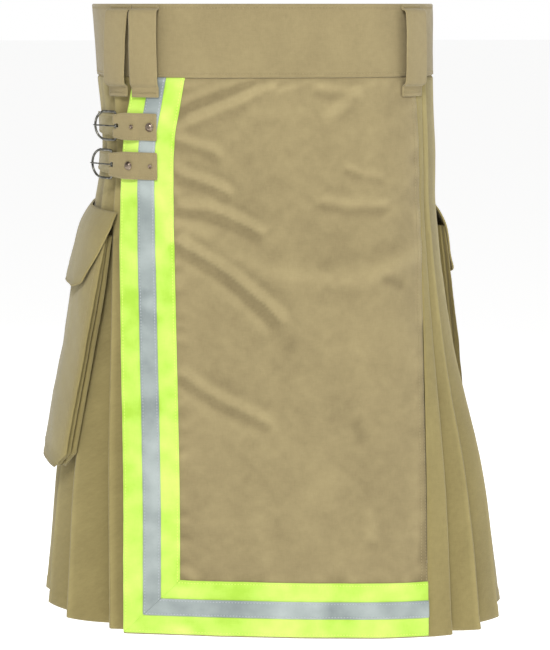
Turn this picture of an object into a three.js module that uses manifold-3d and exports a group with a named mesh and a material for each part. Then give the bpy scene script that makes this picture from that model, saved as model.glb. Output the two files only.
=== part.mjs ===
import * as THREE from 'three';
import { mergeVertices } from 'three/addons/utils/BufferGeometryUtils.js';
import Module from 'manifold-3d';

// A utility kilt of khaki canvas, worn open and hollow, with no wearer.
// Millimetres, +Z up. The front faces -Y and the wearer's right is -X. The origin is the middle of
// the waist opening, half-way up the waistband. Cloth places are given as (z, s, off): z is the
// height, s the distance round the kilt from centre front (the wearer's left is positive), and off
// the distance outwards from the kilt's outer face.

const wasm = await Module();
wasm.setup();

// ---- Driving dimensions ----
const BAND_HEIGHT = 68;
const BAND_TOP = BAND_HEIGHT / 2;
const BAND_SEAM = -BAND_HEIGHT / 2;
const FRONT_LENGTH = 606;
const HEM = BAND_TOP - FRONT_LENGTH;
const HEM_TILT = 0.045; // the hem hangs lower on the wearer's left, per mm across
const HEM_RISE = 0.055; // and it rises towards the back, per mm behind HEM_RISE_FROM
const HEM_RISE_FROM = -110;
const SEAM_GAP = 0.3;

const CANVAS = 1.3; // one layer of canvas
const BAND_CLOTH = 2.4; // the waistband is double, with stiffening
const WEBBING = 1.6; // folded strap, tab and belt-loop cloth
const TAPE_CLOTH = 1.0;

// The kilt's plan at each height: [z, size]. Half widths are from its middle to each side.
const HALF_WIDTH_LEFT = [[34, 170], [-36, 170.5], [-110, 173], [-165, 173], [-300, 190], [-440, 222],
  [-576, 238]];
const HALF_WIDTH_RIGHT = [[34, 170], [-36, 166], [-80, 162.5], [-120, 163], [-165, 171], [-300, 191],
  [-440, 218], [-576, 234]];
const HALF_DEPTH = [[34, 118], [-36, 119], [-150, 127], [-300, 143], [-440, 156], [-576, 167]];
const MIDDLE_X = [[34, 0], [-150, 1], [-576, 8]];
const FRONT_SQUARENESS = [[34, 2.7], [-150, 3.0], [-576, 3.2]]; // power of the front's oval
const BACK_SQUARENESS = 2.4;

// Front apron: its free edge is on the wearer's right, its seam on the wearer's left.
const APRON_EDGE = [[-36, -136], [-60, -140.5], [-94, -146.5], [-150, -148.5], [-420, -150],
  [-576, -154]];
const APRON_SEAM = [[-36, 150], [-150, 154], [-250, 152], [-400, 147], [-576, 144]];
const APRON_SEAM_GAP = 0.8;
const EDGE_LIFT = 9; // how far the free edge stands off the layer under it
const LIFT_LEAST = 0.3; // share of that at the waist, growing to the whole over LIFT_GROWTH
const LIFT_GROWTH = 160;
const LIFT_START = -85; // s where the apron starts to stand off
const LIFT_REACH = 70;

const YELLOW_WIDTH = 18;
const SILVER_WIDTH = 16;
const TAPE_WIDTH = 2 * YELLOW_WIDTH + SILVER_WIDTH;
const TAPE_LINES = [0, YELLOW_WIDTH, YELLOW_WIDTH + SILVER_WIDTH, TAPE_WIDTH];
const HEM_TAPE_LIFT = 1.5; // from the hem to the tape's lower edge
const MITRE_GAP = 0.4;

// Knife pleats: places of the fold edges, from each apron round to the back, at waist and hem.
const FOLDS_LEFT = { waist: [160, 170, 200, 230, 260, 290, 320, 350, 384],
  hem: [171, 209, 258, 312, 366, 420, 474, 528, 584] };
const FOLDS_RIGHT = { waist: [165, 190, 215, 240, 266, 292, 320, 350, 384],
  hem: [172, 227, 275, 320, 370, 422, 474, 528, 584] };
const PLEAT_GAP = [[-36, 2.1], [-150, 2.5], [-300, 5.5], [-576, 10.5]]; // between a pleat's layers
const UNDERLAP = 0.58; // share of each panel that folds back under it
const UNDER_LAYER = [[34, -4.6], [-36, -5.0], [-150, -6], [-576, -13]]; // off of the hidden front layer
const UNDER_END = 118; // s where the under-apron and the waistband's inner end stop
const UNDER_SEAM = -140; // s where the under-apron meets the first pleated panel
const BAND_OUTER_END = -142;
const BAND_RAMP = [[-190, 0.7], [-211, 0.32], [-232, 0]]; // [s, share of the hidden layer's off]

const LOOP_WIDTH = 26;
const LOOP_STANDOFF = 6.2;
const LOOP_LOW = -53; // the loops are sewn down just below the waistband's seam
const LOOP_BULGE = 0.8; // more at its middle
const LOOP_LEAN = 6.5; // the loop beside the apron's free edge leans back to clear it
const LOOP_EASE = 0.4; // clearance of a sewn end over the cloth under it
const LOOPS = { belt_loop_front_right: -121.5, belt_loop_side_right: -150, belt_loop_front_left: 143.5,
  belt_loop_back_right: -330, belt_loop_back_left: 330, belt_loop_back: 470 };

const POCKET_TOP = -190;
const POCKET_BOTTOM = -424;
const POCKET_WIDTH = 178;
const POCKET_DEPTH = [[-190, 9.2], [-250, 11.5], [-310, 12.8]]; // shallower at its mouth
const POCKET_STANDOFF = 1.6; // from the pleats to the bag's back
// Front edges of the pockets, leaning back with the pleats under them.
const POCKET_FRONT = { right: [[-165, 160], [-233, 171], [-308, 189], [-388, 206], [-424, 214]],
  left: [[-165, 250], [-233, 268], [-308, 312], [-388, 358], [-424, 378]] };
const POCKET_CUT = 17; // clipped lower corners
const FLAP_TOP = -167;
const FLAP_BOTTOM = -243;
const FLAP_OVERHANG = 4; // past each side of the pocket
const FLAP_TAPER = [[-167, 2], [-183, 0.5], [-206, 7.5], [-231, 19.5], [-238, 24.5], [-243, 38]];
const FLAP_OFF = [[-167, 1.4], [-176, 6.6], [-190, 11.6], [-215, 14.6], [-243, 18.8]];

// Buckles. A strap's run is given as [s, how far it stands off the layer under it].
const STRAP_WIDTH = 25;
const STRAP_SEWN = [[-111, 0], [-120, 0], [-129, 0.1]]; // over the silver strip
const STRAP_FRONT = [[-134, 1.0], [-143, 1.3]]; // on to the ring, over its own folded end
const STRAP_BACK = [[-143, 0.7], [-134, 0.5]]; // the folded end
const BUCKLES = { upper: { z: -82, limb: -152.5, rivets: [-117, -134] },
  lower: { z: -119.5, limb: -157, rivets: [-137, -117] } };
const RING_RADIUS = 13.6; // of its round side, to the middle of the wire
const RING_CORNER = 2.2;
const STRAP_SQUEEZE = 0.85; // the strap narrows to fit the ring's straight bar
const PRONG_SLOT = { reach: 8, depth: 12, height: 5.5 }; // cut through the strap's fold
const PRONG_WALL = 1.1;
const PRONG_WIDTH = 2.6;
const PRONG_TIP = 1.2; // past the ring's far side
const RING_WIRE = 1.15;
const RING_STEPS = 44;
const WIRE_SIDES = 8;
const RING_LIFT = 9.5; // how much further the ring's far side stands out
const LIMB_OFF = 5.9;
const STRAP_EASE = 0.95; // slack of a strap over the tape under it
const TAB_WIDTH = 20;
const TAB_RUN = [[-226, 0], [-208, 0], [-196, 0.4]]; // sewn to the side, then up to the ring
const TAB_RISE = 1.6; // at the ring
const TAB_CLEAR = 1.3; // over the pleat folds under it
const RIVET_RADIUS = 4.2;
const RIVET_HEIGHT = 2.2;
const EYELET_RADIUS = 1.9;
const EYELET_HEIGHT = 0.9;
const RIVET_SEAT = 0.13; // a wide rivet sits higher on the curved strap, per mm of radius

// ---- Colours ----
const finish = (color, roughness, metalness = 0) =>
  new THREE.MeshStandardMaterial({ color, roughness, metalness });
const khaki = () => finish(0xb0a378, 0.85);
const yellow = () => finish(0xd9f55f, 0.6);
const silver = () => finish(0xb2b9c0, 0.45);
const darkSteel = () => finish(0x6d6c66, 0.35, 1);
const antiqueNickel = () => finish(0x9a8a74, 0.35, 1);

// ---- The kilt's outer face ----

// Value at a height on a smooth curve through [z, value] stations listed from the top down.
function along(stations, height) {
  const last = stations.length - 1;
  const z = THREE.MathUtils.clamp(height, stations[last][0], stations[0][0]);
  const slope = (i) => {
    const [z0, v0] = stations[Math.max(i - 1, 0)];
    const [z1, v1] = stations[Math.min(i + 1, last)];
    return (v1 - v0) / (z1 - z0);
  };
  const i = Math.max(stations.findIndex(([station]) => station <= z) - 1, 0);
  const [za, va] = stations[i];
  const [zb, vb] = stations[i + 1];
  const h = zb - za;
  const t = (z - za) / h;
  const bend = (1 - t) * slope(i) - t * slope(i + 1);
  return va + (vb - va) * t * t * (3 - 2 * t) + h * t * (1 - t) * bend;
}

// Point of the plan at height z, seen at angle phi from centre front.
function planPoint(z, phi) {
  const a = along(phi >= 0 ? HALF_WIDTH_LEFT : HALF_WIDTH_RIGHT, z);
  const b = along(HALF_DEPTH, z);
  const n = Math.cos(phi) > 0 ? along(FRONT_SQUARENESS, z) : BACK_SQUARENESS;
  const reach = (Math.abs(Math.sin(phi) / a) ** n + Math.abs(Math.cos(phi) / b) ** n) ** (-1 / n);
  return new THREE.Vector2(along(MIDDLE_X, z) + reach * Math.sin(phi), -reach * Math.cos(phi));
}

// Lengths round one side of the plan, from centre front to centre back.
const STEPS = 180;
const lengths = new Map();
function lengthsAt(z, side) {
  const key = `${z.toFixed(3)} ${side}`;
  if (!lengths.has(key)) {
    const table = [0];
    let last = planPoint(z, side * 1e-9);
    for (let i = 1; i <= STEPS; i++) {
      const next = planPoint(z, (side * i * Math.PI) / STEPS);
      table.push(table[i - 1] + next.distanceTo(last));
      last = next;
    }
    lengths.set(key, table);
  }
  return lengths.get(key);
}

const halfRound = (z, side) => lengthsAt(z, side)[STEPS];

// The cloth point at height z, s round from centre front and off outwards.
function onKilt(z, s, off = 0) {
  const side = s < 0 ? -1 : 1;
  const table = lengthsAt(z, side);
  const far = Math.min(Math.abs(s), table[STEPS] - 1e-6);
  const i = table.findIndex((length) => length > far) - 1;
  const phi = (side * Math.PI * (i + (far - table[i]) / (table[i + 1] - table[i]))) / STEPS;
  const p = planPoint(z, phi);
  const t = planPoint(z, phi + 1e-3).sub(planPoint(z, phi - 1e-3)).normalize();
  const x = p.x + t.y * off;
  const y = p.y - t.x * off;
  const drop = Math.max(0, (BAND_SEAM - z) / (BAND_SEAM - HEM));
  const lift = HEM_RISE * Math.max(0, p.y - HEM_RISE_FROM) - HEM_TILT * p.x;
  return new THREE.Vector3(x, y, z + lift * drop);
}

// How far the front apron stands off towards its free edge.
function apronLift(z, s) {
  const low = THREE.MathUtils.clamp((BAND_SEAM - 6 - z) / LIFT_GROWTH, 0, 1);
  const share = LIFT_LEAST + (1 - LIFT_LEAST) * low;
  return EDGE_LIFT * share * Math.max((LIFT_START - s) / LIFT_REACH, 0) ** 2;
}
const onApron = (z, s, off) => onKilt(z, s, off + apronLift(z, s));

// ---- Closed solids ----

function solid(points, faces) {
  const geometry = new THREE.BufferGeometry();
  geometry.setAttribute('position', new THREE.Float32BufferAttribute(points.flatMap((p) => p.toArray()), 3));
  let volume = 0;
  for (const [a, b, c] of faces) {
    volume += points[a].dot(new THREE.Vector3().crossVectors(points[b], points[c]));
  }
  geometry.setIndex(faces.flatMap(([a, b, c]) => (volume > 0 ? [a, b, c] : [a, c, b])));
  return geometry;
}

// Triangles gathered as quads.
function quadFaces() {
  const faces = [];
  const quad = (a, b, c, d) => faces.push([a, b, c], [a, c, d]);
  return { faces, quad };
}

// Cloth wall: a grid of points on the middle of the cloth, thickened by half its thickness each way.
function clothWall(grid, thickness) {
  const rows = grid.length;
  const columns = grid[0].length;
  const clamp = THREE.MathUtils.clamp;
  const at = (j, i) => grid[clamp(j, 0, rows - 1)][clamp(i, 0, columns - 1)];
  const points = [];
  for (const sign of [1, -1]) {
    for (let j = 0; j < rows; j++) {
      for (let i = 0; i < columns; i++) {
        const before = new THREE.Vector3().subVectors(at(j, i), at(j, i - 1)).normalize();
        const after = new THREE.Vector3().subVectors(at(j, i + 1), at(j, i)).normalize();
        const across = before.add(after);
        const down = new THREE.Vector3().subVectors(at(j + 1, i), at(j - 1, i));
        const normal = across.cross(down).normalize();
        points.push(grid[j][i].clone().addScaledVector(normal, (sign * thickness) / 2));
      }
    }
  }
  const inner = rows * columns;
  const { faces, quad } = quadFaces();
  for (let j = 0; j < rows - 1; j++) {
    for (let i = 0; i < columns - 1; i++) {
      const a = j * columns + i;
      quad(a, a + columns, a + columns + 1, a + 1);
      quad(inner + a, inner + a + 1, inner + a + columns + 1, inner + a + columns);
    }
  }
  for (let i = 0; i < columns - 1; i++) {
    const low = (rows - 1) * columns + i;
    quad(i, i + 1, inner + i + 1, inner + i);
    quad(low, inner + low, inner + low + 1, low + 1);
  }
  for (let j = 0; j < rows - 1; j++) {
    const a = j * columns;
    const z = a + columns - 1;
    quad(a, inner + a, inner + a + columns, a + columns);
    quad(z, z + columns, inner + z + columns, inner + z);
  }
  return solid(points, faces);
}

const spread = (from, to, count) =>
  Array.from({ length: count + 1 }, (_, i) => from + ((to - from) * i) / count);

function toManifold(geometry) {
  const plain = geometry.clone();
  plain.deleteAttribute('normal');
  plain.deleteAttribute('uv');
  const merged = mergeVertices(plain, 1e-4);
  return new wasm.Manifold(new wasm.Mesh({ numProp: 3,
    vertProperties: new Float32Array(merged.attributes.position.array),
    triVerts: new Uint32Array(merged.index.array) }));
}

function subtract(geometry, tool) {
  const mesh = toManifold(geometry).subtract(toManifold(tool)).getMesh();
  const result = new THREE.BufferGeometry();
  result.setAttribute('position', new THREE.BufferAttribute(new Float32Array(mesh.vertProperties), 3));
  result.setIndex(new THREE.BufferAttribute(new Uint32Array(mesh.triVerts), 1));
  return result;
}

// ---- The object ----
const kilt = new THREE.Group();
function add(name, geometry, material) {
  const mesh = new THREE.Mesh(geometry, material);
  mesh.name = name;
  kilt.add(mesh);
}

// Heights of the skirt's rows, closer at the hem so that the tape's edges lie on rows.
const TAPE_LOW = HEM + HEM_TAPE_LIFT;
const hemTapeRows = [...TAPE_LINES].reverse().map((up) => TAPE_LOW + up);
const SKIRT_TOP = BAND_SEAM - SEAM_GAP;
const apronRows = [SKIRT_TOP, -54, -75, -95, -125, -165, -200, -235, -275, -320, -365, -410, -450, -495,
  ...hemTapeRows, HEM];
const pleatRows = [SKIRT_TOP, -75, -95, -125, -165, -235, -320, -410, -495, HEM];

// Waistband: one strip, from its inner end under the front, round the back, to its outer free end.
function waistband() {
  const middle = -BAND_CLOTH / 2;
  const rows = [BAND_TOP, BAND_SEAM].map((z) => {
    const right = halfRound(z, -1);
    const left = halfRound(z, 1);
    const rampEnd = BAND_RAMP[BAND_RAMP.length - 1][0];
    const inner = along(UNDER_LAYER, z);
    return [
      ...spread(UNDER_END, -170, 16).map((s) => onKilt(z, s, middle + inner)),
      ...BAND_RAMP.map(([s, share]) => onKilt(z, s, middle + inner * share)),
      ...spread(rampEnd, -right, 14).slice(1, -1).map((s) => onKilt(z, s, middle)),
      ...spread(left, BAND_OUTER_END, 36).map((s) => onKilt(z, s, middle)),
    ];
  });
  return clothWall(rows, BAND_CLOTH);
}
add('waistband', waistband(), khaki());

// Front apron: the top layer, flat, from its free edge on the wearer's right to the seam on the left.
function apronColumns(z) {
  const edge = along(APRON_EDGE, z);
  const tape = TAPE_LINES.map((d) => edge + d);
  return [...tape, ...spread(edge + TAPE_WIDTH, along(APRON_SEAM, z) - APRON_SEAM_GAP, 11).slice(1)];
}
function overApron() {
  const rows = apronRows.map((z) => apronColumns(z).map((s) => onApron(z, s, -CANVAS / 2)));
  return clothWall(rows, CANVAS);
}
add('over_apron', overApron(), khaki());

// Under-apron: the hidden layer across the front, from the first panel on the wearer's right.
function underApron() {
  const rows = pleatRows.map((z) => spread(UNDER_SEAM + SEAM_GAP, UNDER_END, 9)
    .map((s) => onKilt(z, s, along(UNDER_LAYER, z) - CANVAS / 2)));
  return clothWall(rows, CANVAS);
}
add('under_apron', underApron(), khaki());

// Knife pleats of one side, with their folds facing back, to the seam at centre back.
// side is 1 on the wearer's left; start(z) is where the first panel is sewn, startOff(z) how deep.
function pleats(side, folds, start, startOff) {
  const rows = pleatRows.map((z) => {
    const gap = along(PLEAT_GAP, z);
    const middle = -CANVAS / 2;
    const flare = (halfRound(z, side) - halfRound(BAND_SEAM, side))
      / (halfRound(HEM, side) - halfRound(BAND_SEAM, side));
    const path = [];
    const put = (s, off) => path.push(onKilt(z, side * s, middle + off));
    let from = start(z);
    let fromOff = startOff(z);
    folds.waist.forEach((waist, k) => {
      const fold = waist + (folds.hem[k] - waist) * THREE.MathUtils.clamp(flare, 0, 1);
      const under = UNDERLAP * (fold - from);
      const panelOff = (s) => fromOff * ((fold - s) / (fold - from));
      if (k === 0) put(from, fromOff);
      put((from + fold) / 2, panelOff((from + fold) / 2));
      put(fold, 0);
      put(fold, -gap);
      put(fold - under, panelOff(fold - under) - gap);
      put(fold - under, panelOff(fold - under) - 2 * gap);
      from = fold;
      fromOff = -2 * gap;
    });
    const end = halfRound(z, side) - SEAM_GAP / 2;
    spread(from, end, 3).forEach((s) => put(s, fromOff));
    return path;
  });
  return clothWall(rows, CANVAS);
}
add('pleats_left', pleats(1, FOLDS_LEFT, (z) => along(APRON_SEAM, z), () => 0), khaki());
add('pleats_right', pleats(-1, FOLDS_RIGHT, () => -UNDER_SEAM, (z) => along(UNDER_LAYER, z)), khaki());

// Reflective tape: a yellow tape down the free edge and another along the hem, mitred at the corner,
// each with a silver strip along its middle. Each is made from the apron's own points, moved out.
const YELLOW_OFF = SEAM_GAP + TAPE_CLOTH / 2;
const SILVER_OFF = YELLOW_OFF + TAPE_CLOTH + SEAM_GAP;
const tapeRows = apronRows.slice(0, -1);

// Strip down the edge between columns a and b; below the tape's top it is cut along the mitre.
function edgeStrip(a, b, off) {
  const columns = TAPE_LINES.slice(a, b + 1);
  const straight = tapeRows.filter((z) => z > hemTapeRows[0] + 1);
  const rows = straight.map((z) => columns.map((d) => onApron(z, along(APRON_EDGE, z) + d, off)));
  rows.push(columns.map((d) => {
    const z = TAPE_LOW + d + MITRE_GAP;
    return onApron(z, along(APRON_EDGE, z) + d, off);
  }));
  return clothWall(rows, TAPE_CLOTH);
}
// Strip along the hem between rows a and b, cut along the mitre at its wearer's-right end.
function hemStrip(a, b, off) {
  const ups = TAPE_LINES.slice(a, b + 1).reverse();
  const rows = ups.map((up) => {
    const z = TAPE_LOW + up;
    const columns = apronColumns(z);
    const start = along(APRON_EDGE, z) + up + MITRE_GAP;
    const path = [start, ...columns.filter((s) => s > along(APRON_EDGE, z) + TAPE_WIDTH + 1)];
    return path.map((s) => onApron(z, s, off));
  });
  return clothWall(rows, TAPE_CLOTH);
}
add('tape_edge', edgeStrip(0, 3, YELLOW_OFF), yellow());
add('tape_hem', hemStrip(0, 3, YELLOW_OFF), yellow());
add('silver_edge', edgeStrip(1, 2, SILVER_OFF), silver());
add('silver_hem', hemStrip(1, 2, SILVER_OFF), silver());

// Belt loops: a folded strip sewn at the waistband's top and just below its seam, standing off it.
function beltLoop(centre) {
  const lean = centre === LOOPS.belt_loop_side_right ? LOOP_LEAN : 0;
  const low = SEAM_GAP + WEBBING / 2;
  const high = low + LOOP_STANDOFF;
  const onTape = centre > LOOPS.belt_loop_side_right && centre < 0;
  const foot = low + (onTape ? SILVER_OFF + TAPE_CLOTH / 2 : SEAM_GAP) + LOOP_EASE / 2;
  const profile = [[BAND_TOP - 1, low], [BAND_TOP - 4, low + LOOP_EASE], [BAND_TOP - 7, high],
    [10, high + LOOP_BULGE], [-16, high + LOOP_BULGE], [LOOP_LOW + 14, high],
    [LOOP_LOW + 9, foot + LOOP_EASE], [LOOP_LOW, foot]];
  const place = onTape ? onApron : onKilt;
  const rows = profile.map(([z, off]) => {
    const middle = centre - lean * (BAND_TOP - z) / (BAND_TOP - LOOP_LOW);
    const places = spread(middle - LOOP_WIDTH / 2, middle + LOOP_WIDTH / 2, 2);
    return places.map((s) => place(z, s, off));
  });
  return clothWall(rows, WEBBING);
}
for (const [name, centre] of Object.entries(LOOPS)) add(name, beltLoop(centre), khaki());

// Cargo pockets: a bellows bag, open at the top, with clipped lower corners, over the pleats.
const pocketFront = (side, z) => along(side < 0 ? POCKET_FRONT.right : POCKET_FRONT.left, z);
function pocketRing(side, z, inset) {
  const front = pocketFront(side, z);
  const low = Math.max(0, POCKET_BOTTOM + POCKET_CUT - z);
  const from = front + inset + low;
  const to = front + POCKET_WIDTH - inset - low;
  const back = POCKET_STANDOFF + inset;
  const face = POCKET_STANDOFF + along(POCKET_DEPTH, z) - inset;
  const outside = spread(from, to, 8).map((s) => onKilt(z, side * s, face));
  const inside = spread(to, from, 8).map((s) => onKilt(z, side * s, back));
  return [...outside, ...inside];
}
function pocket(side) {
  const heights = [POCKET_TOP, -233, -280, -330, -380, POCKET_BOTTOM + POCKET_CUT, POCKET_BOTTOM];
  const outer = heights.map((z) => pocketRing(side, z, 0));
  const inner = heights.map((z, j) =>
    pocketRing(side, j === heights.length - 1 ? z + CANVAS : z, CANVAS));
  const count = outer[0].length;
  const levels = heights.length;
  const points = [...outer.flat(), ...inner.flat()];
  const shift = levels * count;
  const { faces, quad } = quadFaces();
  for (let i = 0; i < count; i++) {
    const k = (i + 1) % count;
    for (let j = 0; j < levels - 1; j++) {
      quad(j * count + i, (j + 1) * count + i, (j + 1) * count + k, j * count + k);
      quad(shift + j * count + i, shift + j * count + k, shift + (j + 1) * count + k,
        shift + (j + 1) * count + i);
    }
    quad(i, k, shift + k, shift + i);
  }
  const half = count / 2;
  for (let i = 0; i < half - 1; i++) {
    const o = (levels - 1) * count;
    const mate = count - 1 - i;
    quad(o + i, o + mate, o + mate - 1, o + i + 1);
    quad(shift + o + i, shift + o + i + 1, shift + o + mate - 1, shift + o + mate);
  }
  return solid(points, faces);
}
add('pocket_right', pocket(-1), khaki());
add('pocket_left', pocket(1), khaki());

// Pocket flaps: sewn above the bag's mouth, over it, tapering in towards their lower edge.
function flap(side) {
  const heights = [FLAP_TOP, -176, -184, -192, -206, -219, -231, -238, FLAP_BOTTOM];
  const rows = heights.map((z) => {
    const inwards = along(FLAP_TAPER, z) - FLAP_OVERHANG;
    const front = pocketFront(side, z) + inwards;
    const back = pocketFront(side, z) + POCKET_WIDTH - inwards;
    return spread(front, back, 8).map((s) => onKilt(z, side * s, along(FLAP_OFF, z) + CANVAS / 2));
  });
  return clothWall(rows, CANVAS);
}
add('flap_right', flap(-1), khaki());
add('flap_left', flap(1), khaki());

// Side buckles. The strap is sewn on the apron and folded round the straight bar of a ring.
const underlayOff = YELLOW_OFF + TAPE_CLOTH / 2 + SEAM_GAP + WEBBING / 2 + STRAP_EASE;
const overlayOff = SILVER_OFF + TAPE_CLOTH / 2 + 2 * SEAM_GAP + WEBBING / 2;

function strap({ z, limb }) {
  const turn = RING_WIRE + SEAM_GAP + WEBBING / 2;
  const frame = buckleFrame({ z, limb });
  const rise = (run, base) => run.map(([s, clear]) => [s, base + clear]);
  const front = [...rise(STRAP_SEWN, overlayOff), ...rise(STRAP_FRONT, underlayOff + WEBBING)];
  const back = rise(STRAP_BACK, underlayOff);
  const rows = [STRAP_WIDTH / 2, 0, -STRAP_WIDTH / 2].map((up) => {
    const lay = ([s, off]) => onKilt(z + up, s, off + apronLift(z, s));
    const fold = spread(Math.PI / 2, -Math.PI / 2, 6).map((a) => new THREE.Vector3(
      turn * Math.cos(a), turn * Math.sin(a), up * STRAP_SQUEEZE).applyMatrix4(frame));
    return [...front.map(lay), ...fold, ...back.map(lay)];
  });
  const slot = new THREE.BoxGeometry(PRONG_SLOT.reach, PRONG_SLOT.depth, PRONG_SLOT.height);
  slot.applyMatrix4(frame);
  return subtract(clothWall(rows, WEBBING), slot);
}

// Frame of a buckle: the origin on the ring's near limb, +X towards the far side, +Y outwards.
function buckleFrame({ z, limb }) {
  const base = LIMB_OFF + apronLift(z, limb + 8);
  const near = onKilt(z, limb, base);
  const far = onKilt(z, limb - 2 * RING_RADIUS, base + RING_LIFT);
  const x = far.sub(near).normalize();
  const zAxis = new THREE.Vector3(0, 0, 1);
  const y = new THREE.Vector3().crossVectors(zAxis, x).normalize();
  const up = new THREE.Vector3().crossVectors(x, y).normalize();
  return new THREE.Matrix4().makeBasis(x, y, up).setPosition(near);
}

// Ring: a D of round wire, its straight bar inside the strap's fold.
function ring(buckle) {
  const outline = new THREE.Path();
  const straight = RING_RADIUS - RING_CORNER;
  outline.moveTo(0, -straight);
  outline.lineTo(0, straight);
  outline.absarc(RING_CORNER, straight, RING_CORNER, Math.PI, Math.PI / 2, true);
  outline.lineTo(RING_RADIUS, RING_RADIUS);
  outline.absarc(RING_RADIUS, 0, RING_RADIUS, Math.PI / 2, -Math.PI / 2, true);
  outline.lineTo(RING_CORNER, -RING_RADIUS);
  outline.absarc(RING_CORNER, -straight, RING_CORNER, -Math.PI / 2, -Math.PI, true);
  const middle = outline.getSpacedPoints(RING_STEPS).slice(0, -1);
  const points = middle.flatMap((p, i) => {
    const next = middle[(i + 1) % middle.length];
    const last = middle[(i + middle.length - 1) % middle.length];
    const tangent = next.clone().sub(last).normalize();
    return spread(0, 2 * Math.PI, WIRE_SIDES).slice(1).map((a) => new THREE.Vector3(
      p.x + RING_WIRE * Math.cos(a) * tangent.y, RING_WIRE * Math.sin(a),
      p.y - RING_WIRE * Math.cos(a) * tangent.x));
  });
  const faces = [];
  for (let i = 0; i < middle.length; i++) {
    for (let k = 0; k < WIRE_SIDES; k++) {
      const j = ((i + 1) % middle.length) * WIRE_SIDES;
      const m = (k + 1) % WIRE_SIDES;
      faces.push([i * WIRE_SIDES + k, j + k, j + m], [i * WIRE_SIDES + k, j + m, i * WIRE_SIDES + m]);
    }
  }
  const frame = buckleFrame(buckle);
  return solid(points.map((p) => p.applyMatrix4(frame)), faces);
}

// Prong: an eye round the near limb and a tapered finger lying on the ring's far side.
function prong(buckle) {
  const eye = RING_WIRE + SEAM_GAP;
  const reach = eye + PRONG_WALL;
  const tip = 2 * RING_RADIUS + PRONG_TIP;
  const outline = new THREE.Shape();
  outline.moveTo(0, reach);
  outline.lineTo(tip - 1, reach);
  outline.lineTo(tip, eye + PRONG_WALL / 2);
  outline.lineTo(tip - 1, eye);
  outline.lineTo(reach, eye);
  outline.absarc(0, 0, reach, Math.atan2(eye, reach) / 2, -1.5 * Math.PI, true);
  const hole = new THREE.Path();
  hole.absarc(0, 0, eye, 0, 2 * Math.PI);
  outline.holes.push(hole);
  const geometry = new THREE.ExtrudeGeometry(outline, { depth: PRONG_WIDTH, bevelEnabled: false,
    curveSegments: 10 });
  geometry.translate(0, 0, -PRONG_WIDTH / 2);
  geometry.applyMatrix4(buckleFrame(buckle));
  return geometry;
}

// Tab: a strip sewn to the side, which ends behind the ring's near limb.
function tab({ z, limb }) {
  const base = WEBBING / 2 + TAB_CLEAR;
  const run = TAB_RUN.map(([s, clear]) => [s, base + clear]);
  const [last] = run[run.length - 1];
  const end = limb - RING_WIRE - SEAM_GAP - 1.5 * WEBBING;
  run.push([(end + last) / 2, base + 0.6 * TAB_RISE], [end, base + TAB_RISE]);
  const rows = [TAB_WIDTH / 2, 0, -TAB_WIDTH / 2].map((up) =>
    run.map(([s, off]) => onKilt(z + up, s, off)));
  return clothWall(rows, WEBBING);
}

// Dome rivets and small eyelets on the straps, seated on the strap's outer face.
function rivet({ z }, s, radius, height) {
  const strapOff = s > STRAP_FRONT[0][0] ? overlayOff : underlayOff + WEBBING + STRAP_FRONT[1][1];
  const seat = WEBBING / 2 + SEAM_GAP + radius * RIVET_SEAT;
  const off = strapOff + apronLift(z, s) + seat;
  const p = onKilt(z, s, off);
  const out = onKilt(z, s, off + 1).sub(p).normalize();
  const profile = [new THREE.Vector2(0, 0), new THREE.Vector2(radius, 0)];
  for (const degrees of [20, 50, 75]) {
    const a = THREE.MathUtils.degToRad(degrees);
    profile.push(new THREE.Vector2(radius * Math.cos(a), height * Math.sin(a)));
  }
  profile.push(new THREE.Vector2(0, height));
  const geometry = new THREE.LatheGeometry(profile, 16);
  geometry.applyQuaternion(new THREE.Quaternion().setFromUnitVectors(new THREE.Vector3(0, 1, 0), out));
  geometry.translate(p.x, p.y, p.z);
  return geometry;
}

for (const [name, buckle] of Object.entries(BUCKLES)) {
  add(`strap_${name}`, strap(buckle), khaki());
  add(`ring_${name}`, ring(buckle), darkSteel());
  add(`prong_${name}`, prong(buckle), darkSteel());
  add(`tab_${name}`, tab(buckle), khaki());
  const [rivetAt, eyeletAt] = buckle.rivets;
  add(`rivet_${name}`, rivet(buckle, rivetAt, RIVET_RADIUS, RIVET_HEIGHT), antiqueNickel());
  add(`eyelet_${name}`, rivet(buckle, eyeletAt, EYELET_RADIUS, EYELET_HEIGHT), antiqueNickel());
}

export default kilt;
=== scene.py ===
import math

import bpy
import numpy as np
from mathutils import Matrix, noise


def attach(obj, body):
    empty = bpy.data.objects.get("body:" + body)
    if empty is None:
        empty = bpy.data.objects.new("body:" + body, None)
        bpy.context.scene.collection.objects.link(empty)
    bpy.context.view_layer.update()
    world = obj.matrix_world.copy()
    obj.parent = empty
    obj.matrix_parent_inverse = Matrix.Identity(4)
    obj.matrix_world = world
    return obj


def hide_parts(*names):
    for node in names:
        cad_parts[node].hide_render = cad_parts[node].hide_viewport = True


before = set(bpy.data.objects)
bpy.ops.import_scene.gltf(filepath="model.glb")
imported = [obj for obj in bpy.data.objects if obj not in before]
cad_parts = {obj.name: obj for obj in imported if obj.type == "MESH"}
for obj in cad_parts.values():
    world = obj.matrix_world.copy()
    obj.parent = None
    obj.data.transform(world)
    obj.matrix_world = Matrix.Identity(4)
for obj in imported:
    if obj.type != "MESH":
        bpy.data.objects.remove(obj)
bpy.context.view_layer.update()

# ---------------------------------------------------------------------------------------------
# Camera, floor and studio light. The kilt hangs at a wearer's waist height over a plain pale
# floor, under a white sky with one large soft lamp in front on the left and a weaker one right.
CAMERA_DISTANCE = 2.055
CAMERA_TURN = math.radians(-5)
CAMERA_PITCH = math.radians(9)
CAMERA_ASIDE = 0.013
WAIST_HEIGHT = 1.03

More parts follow.
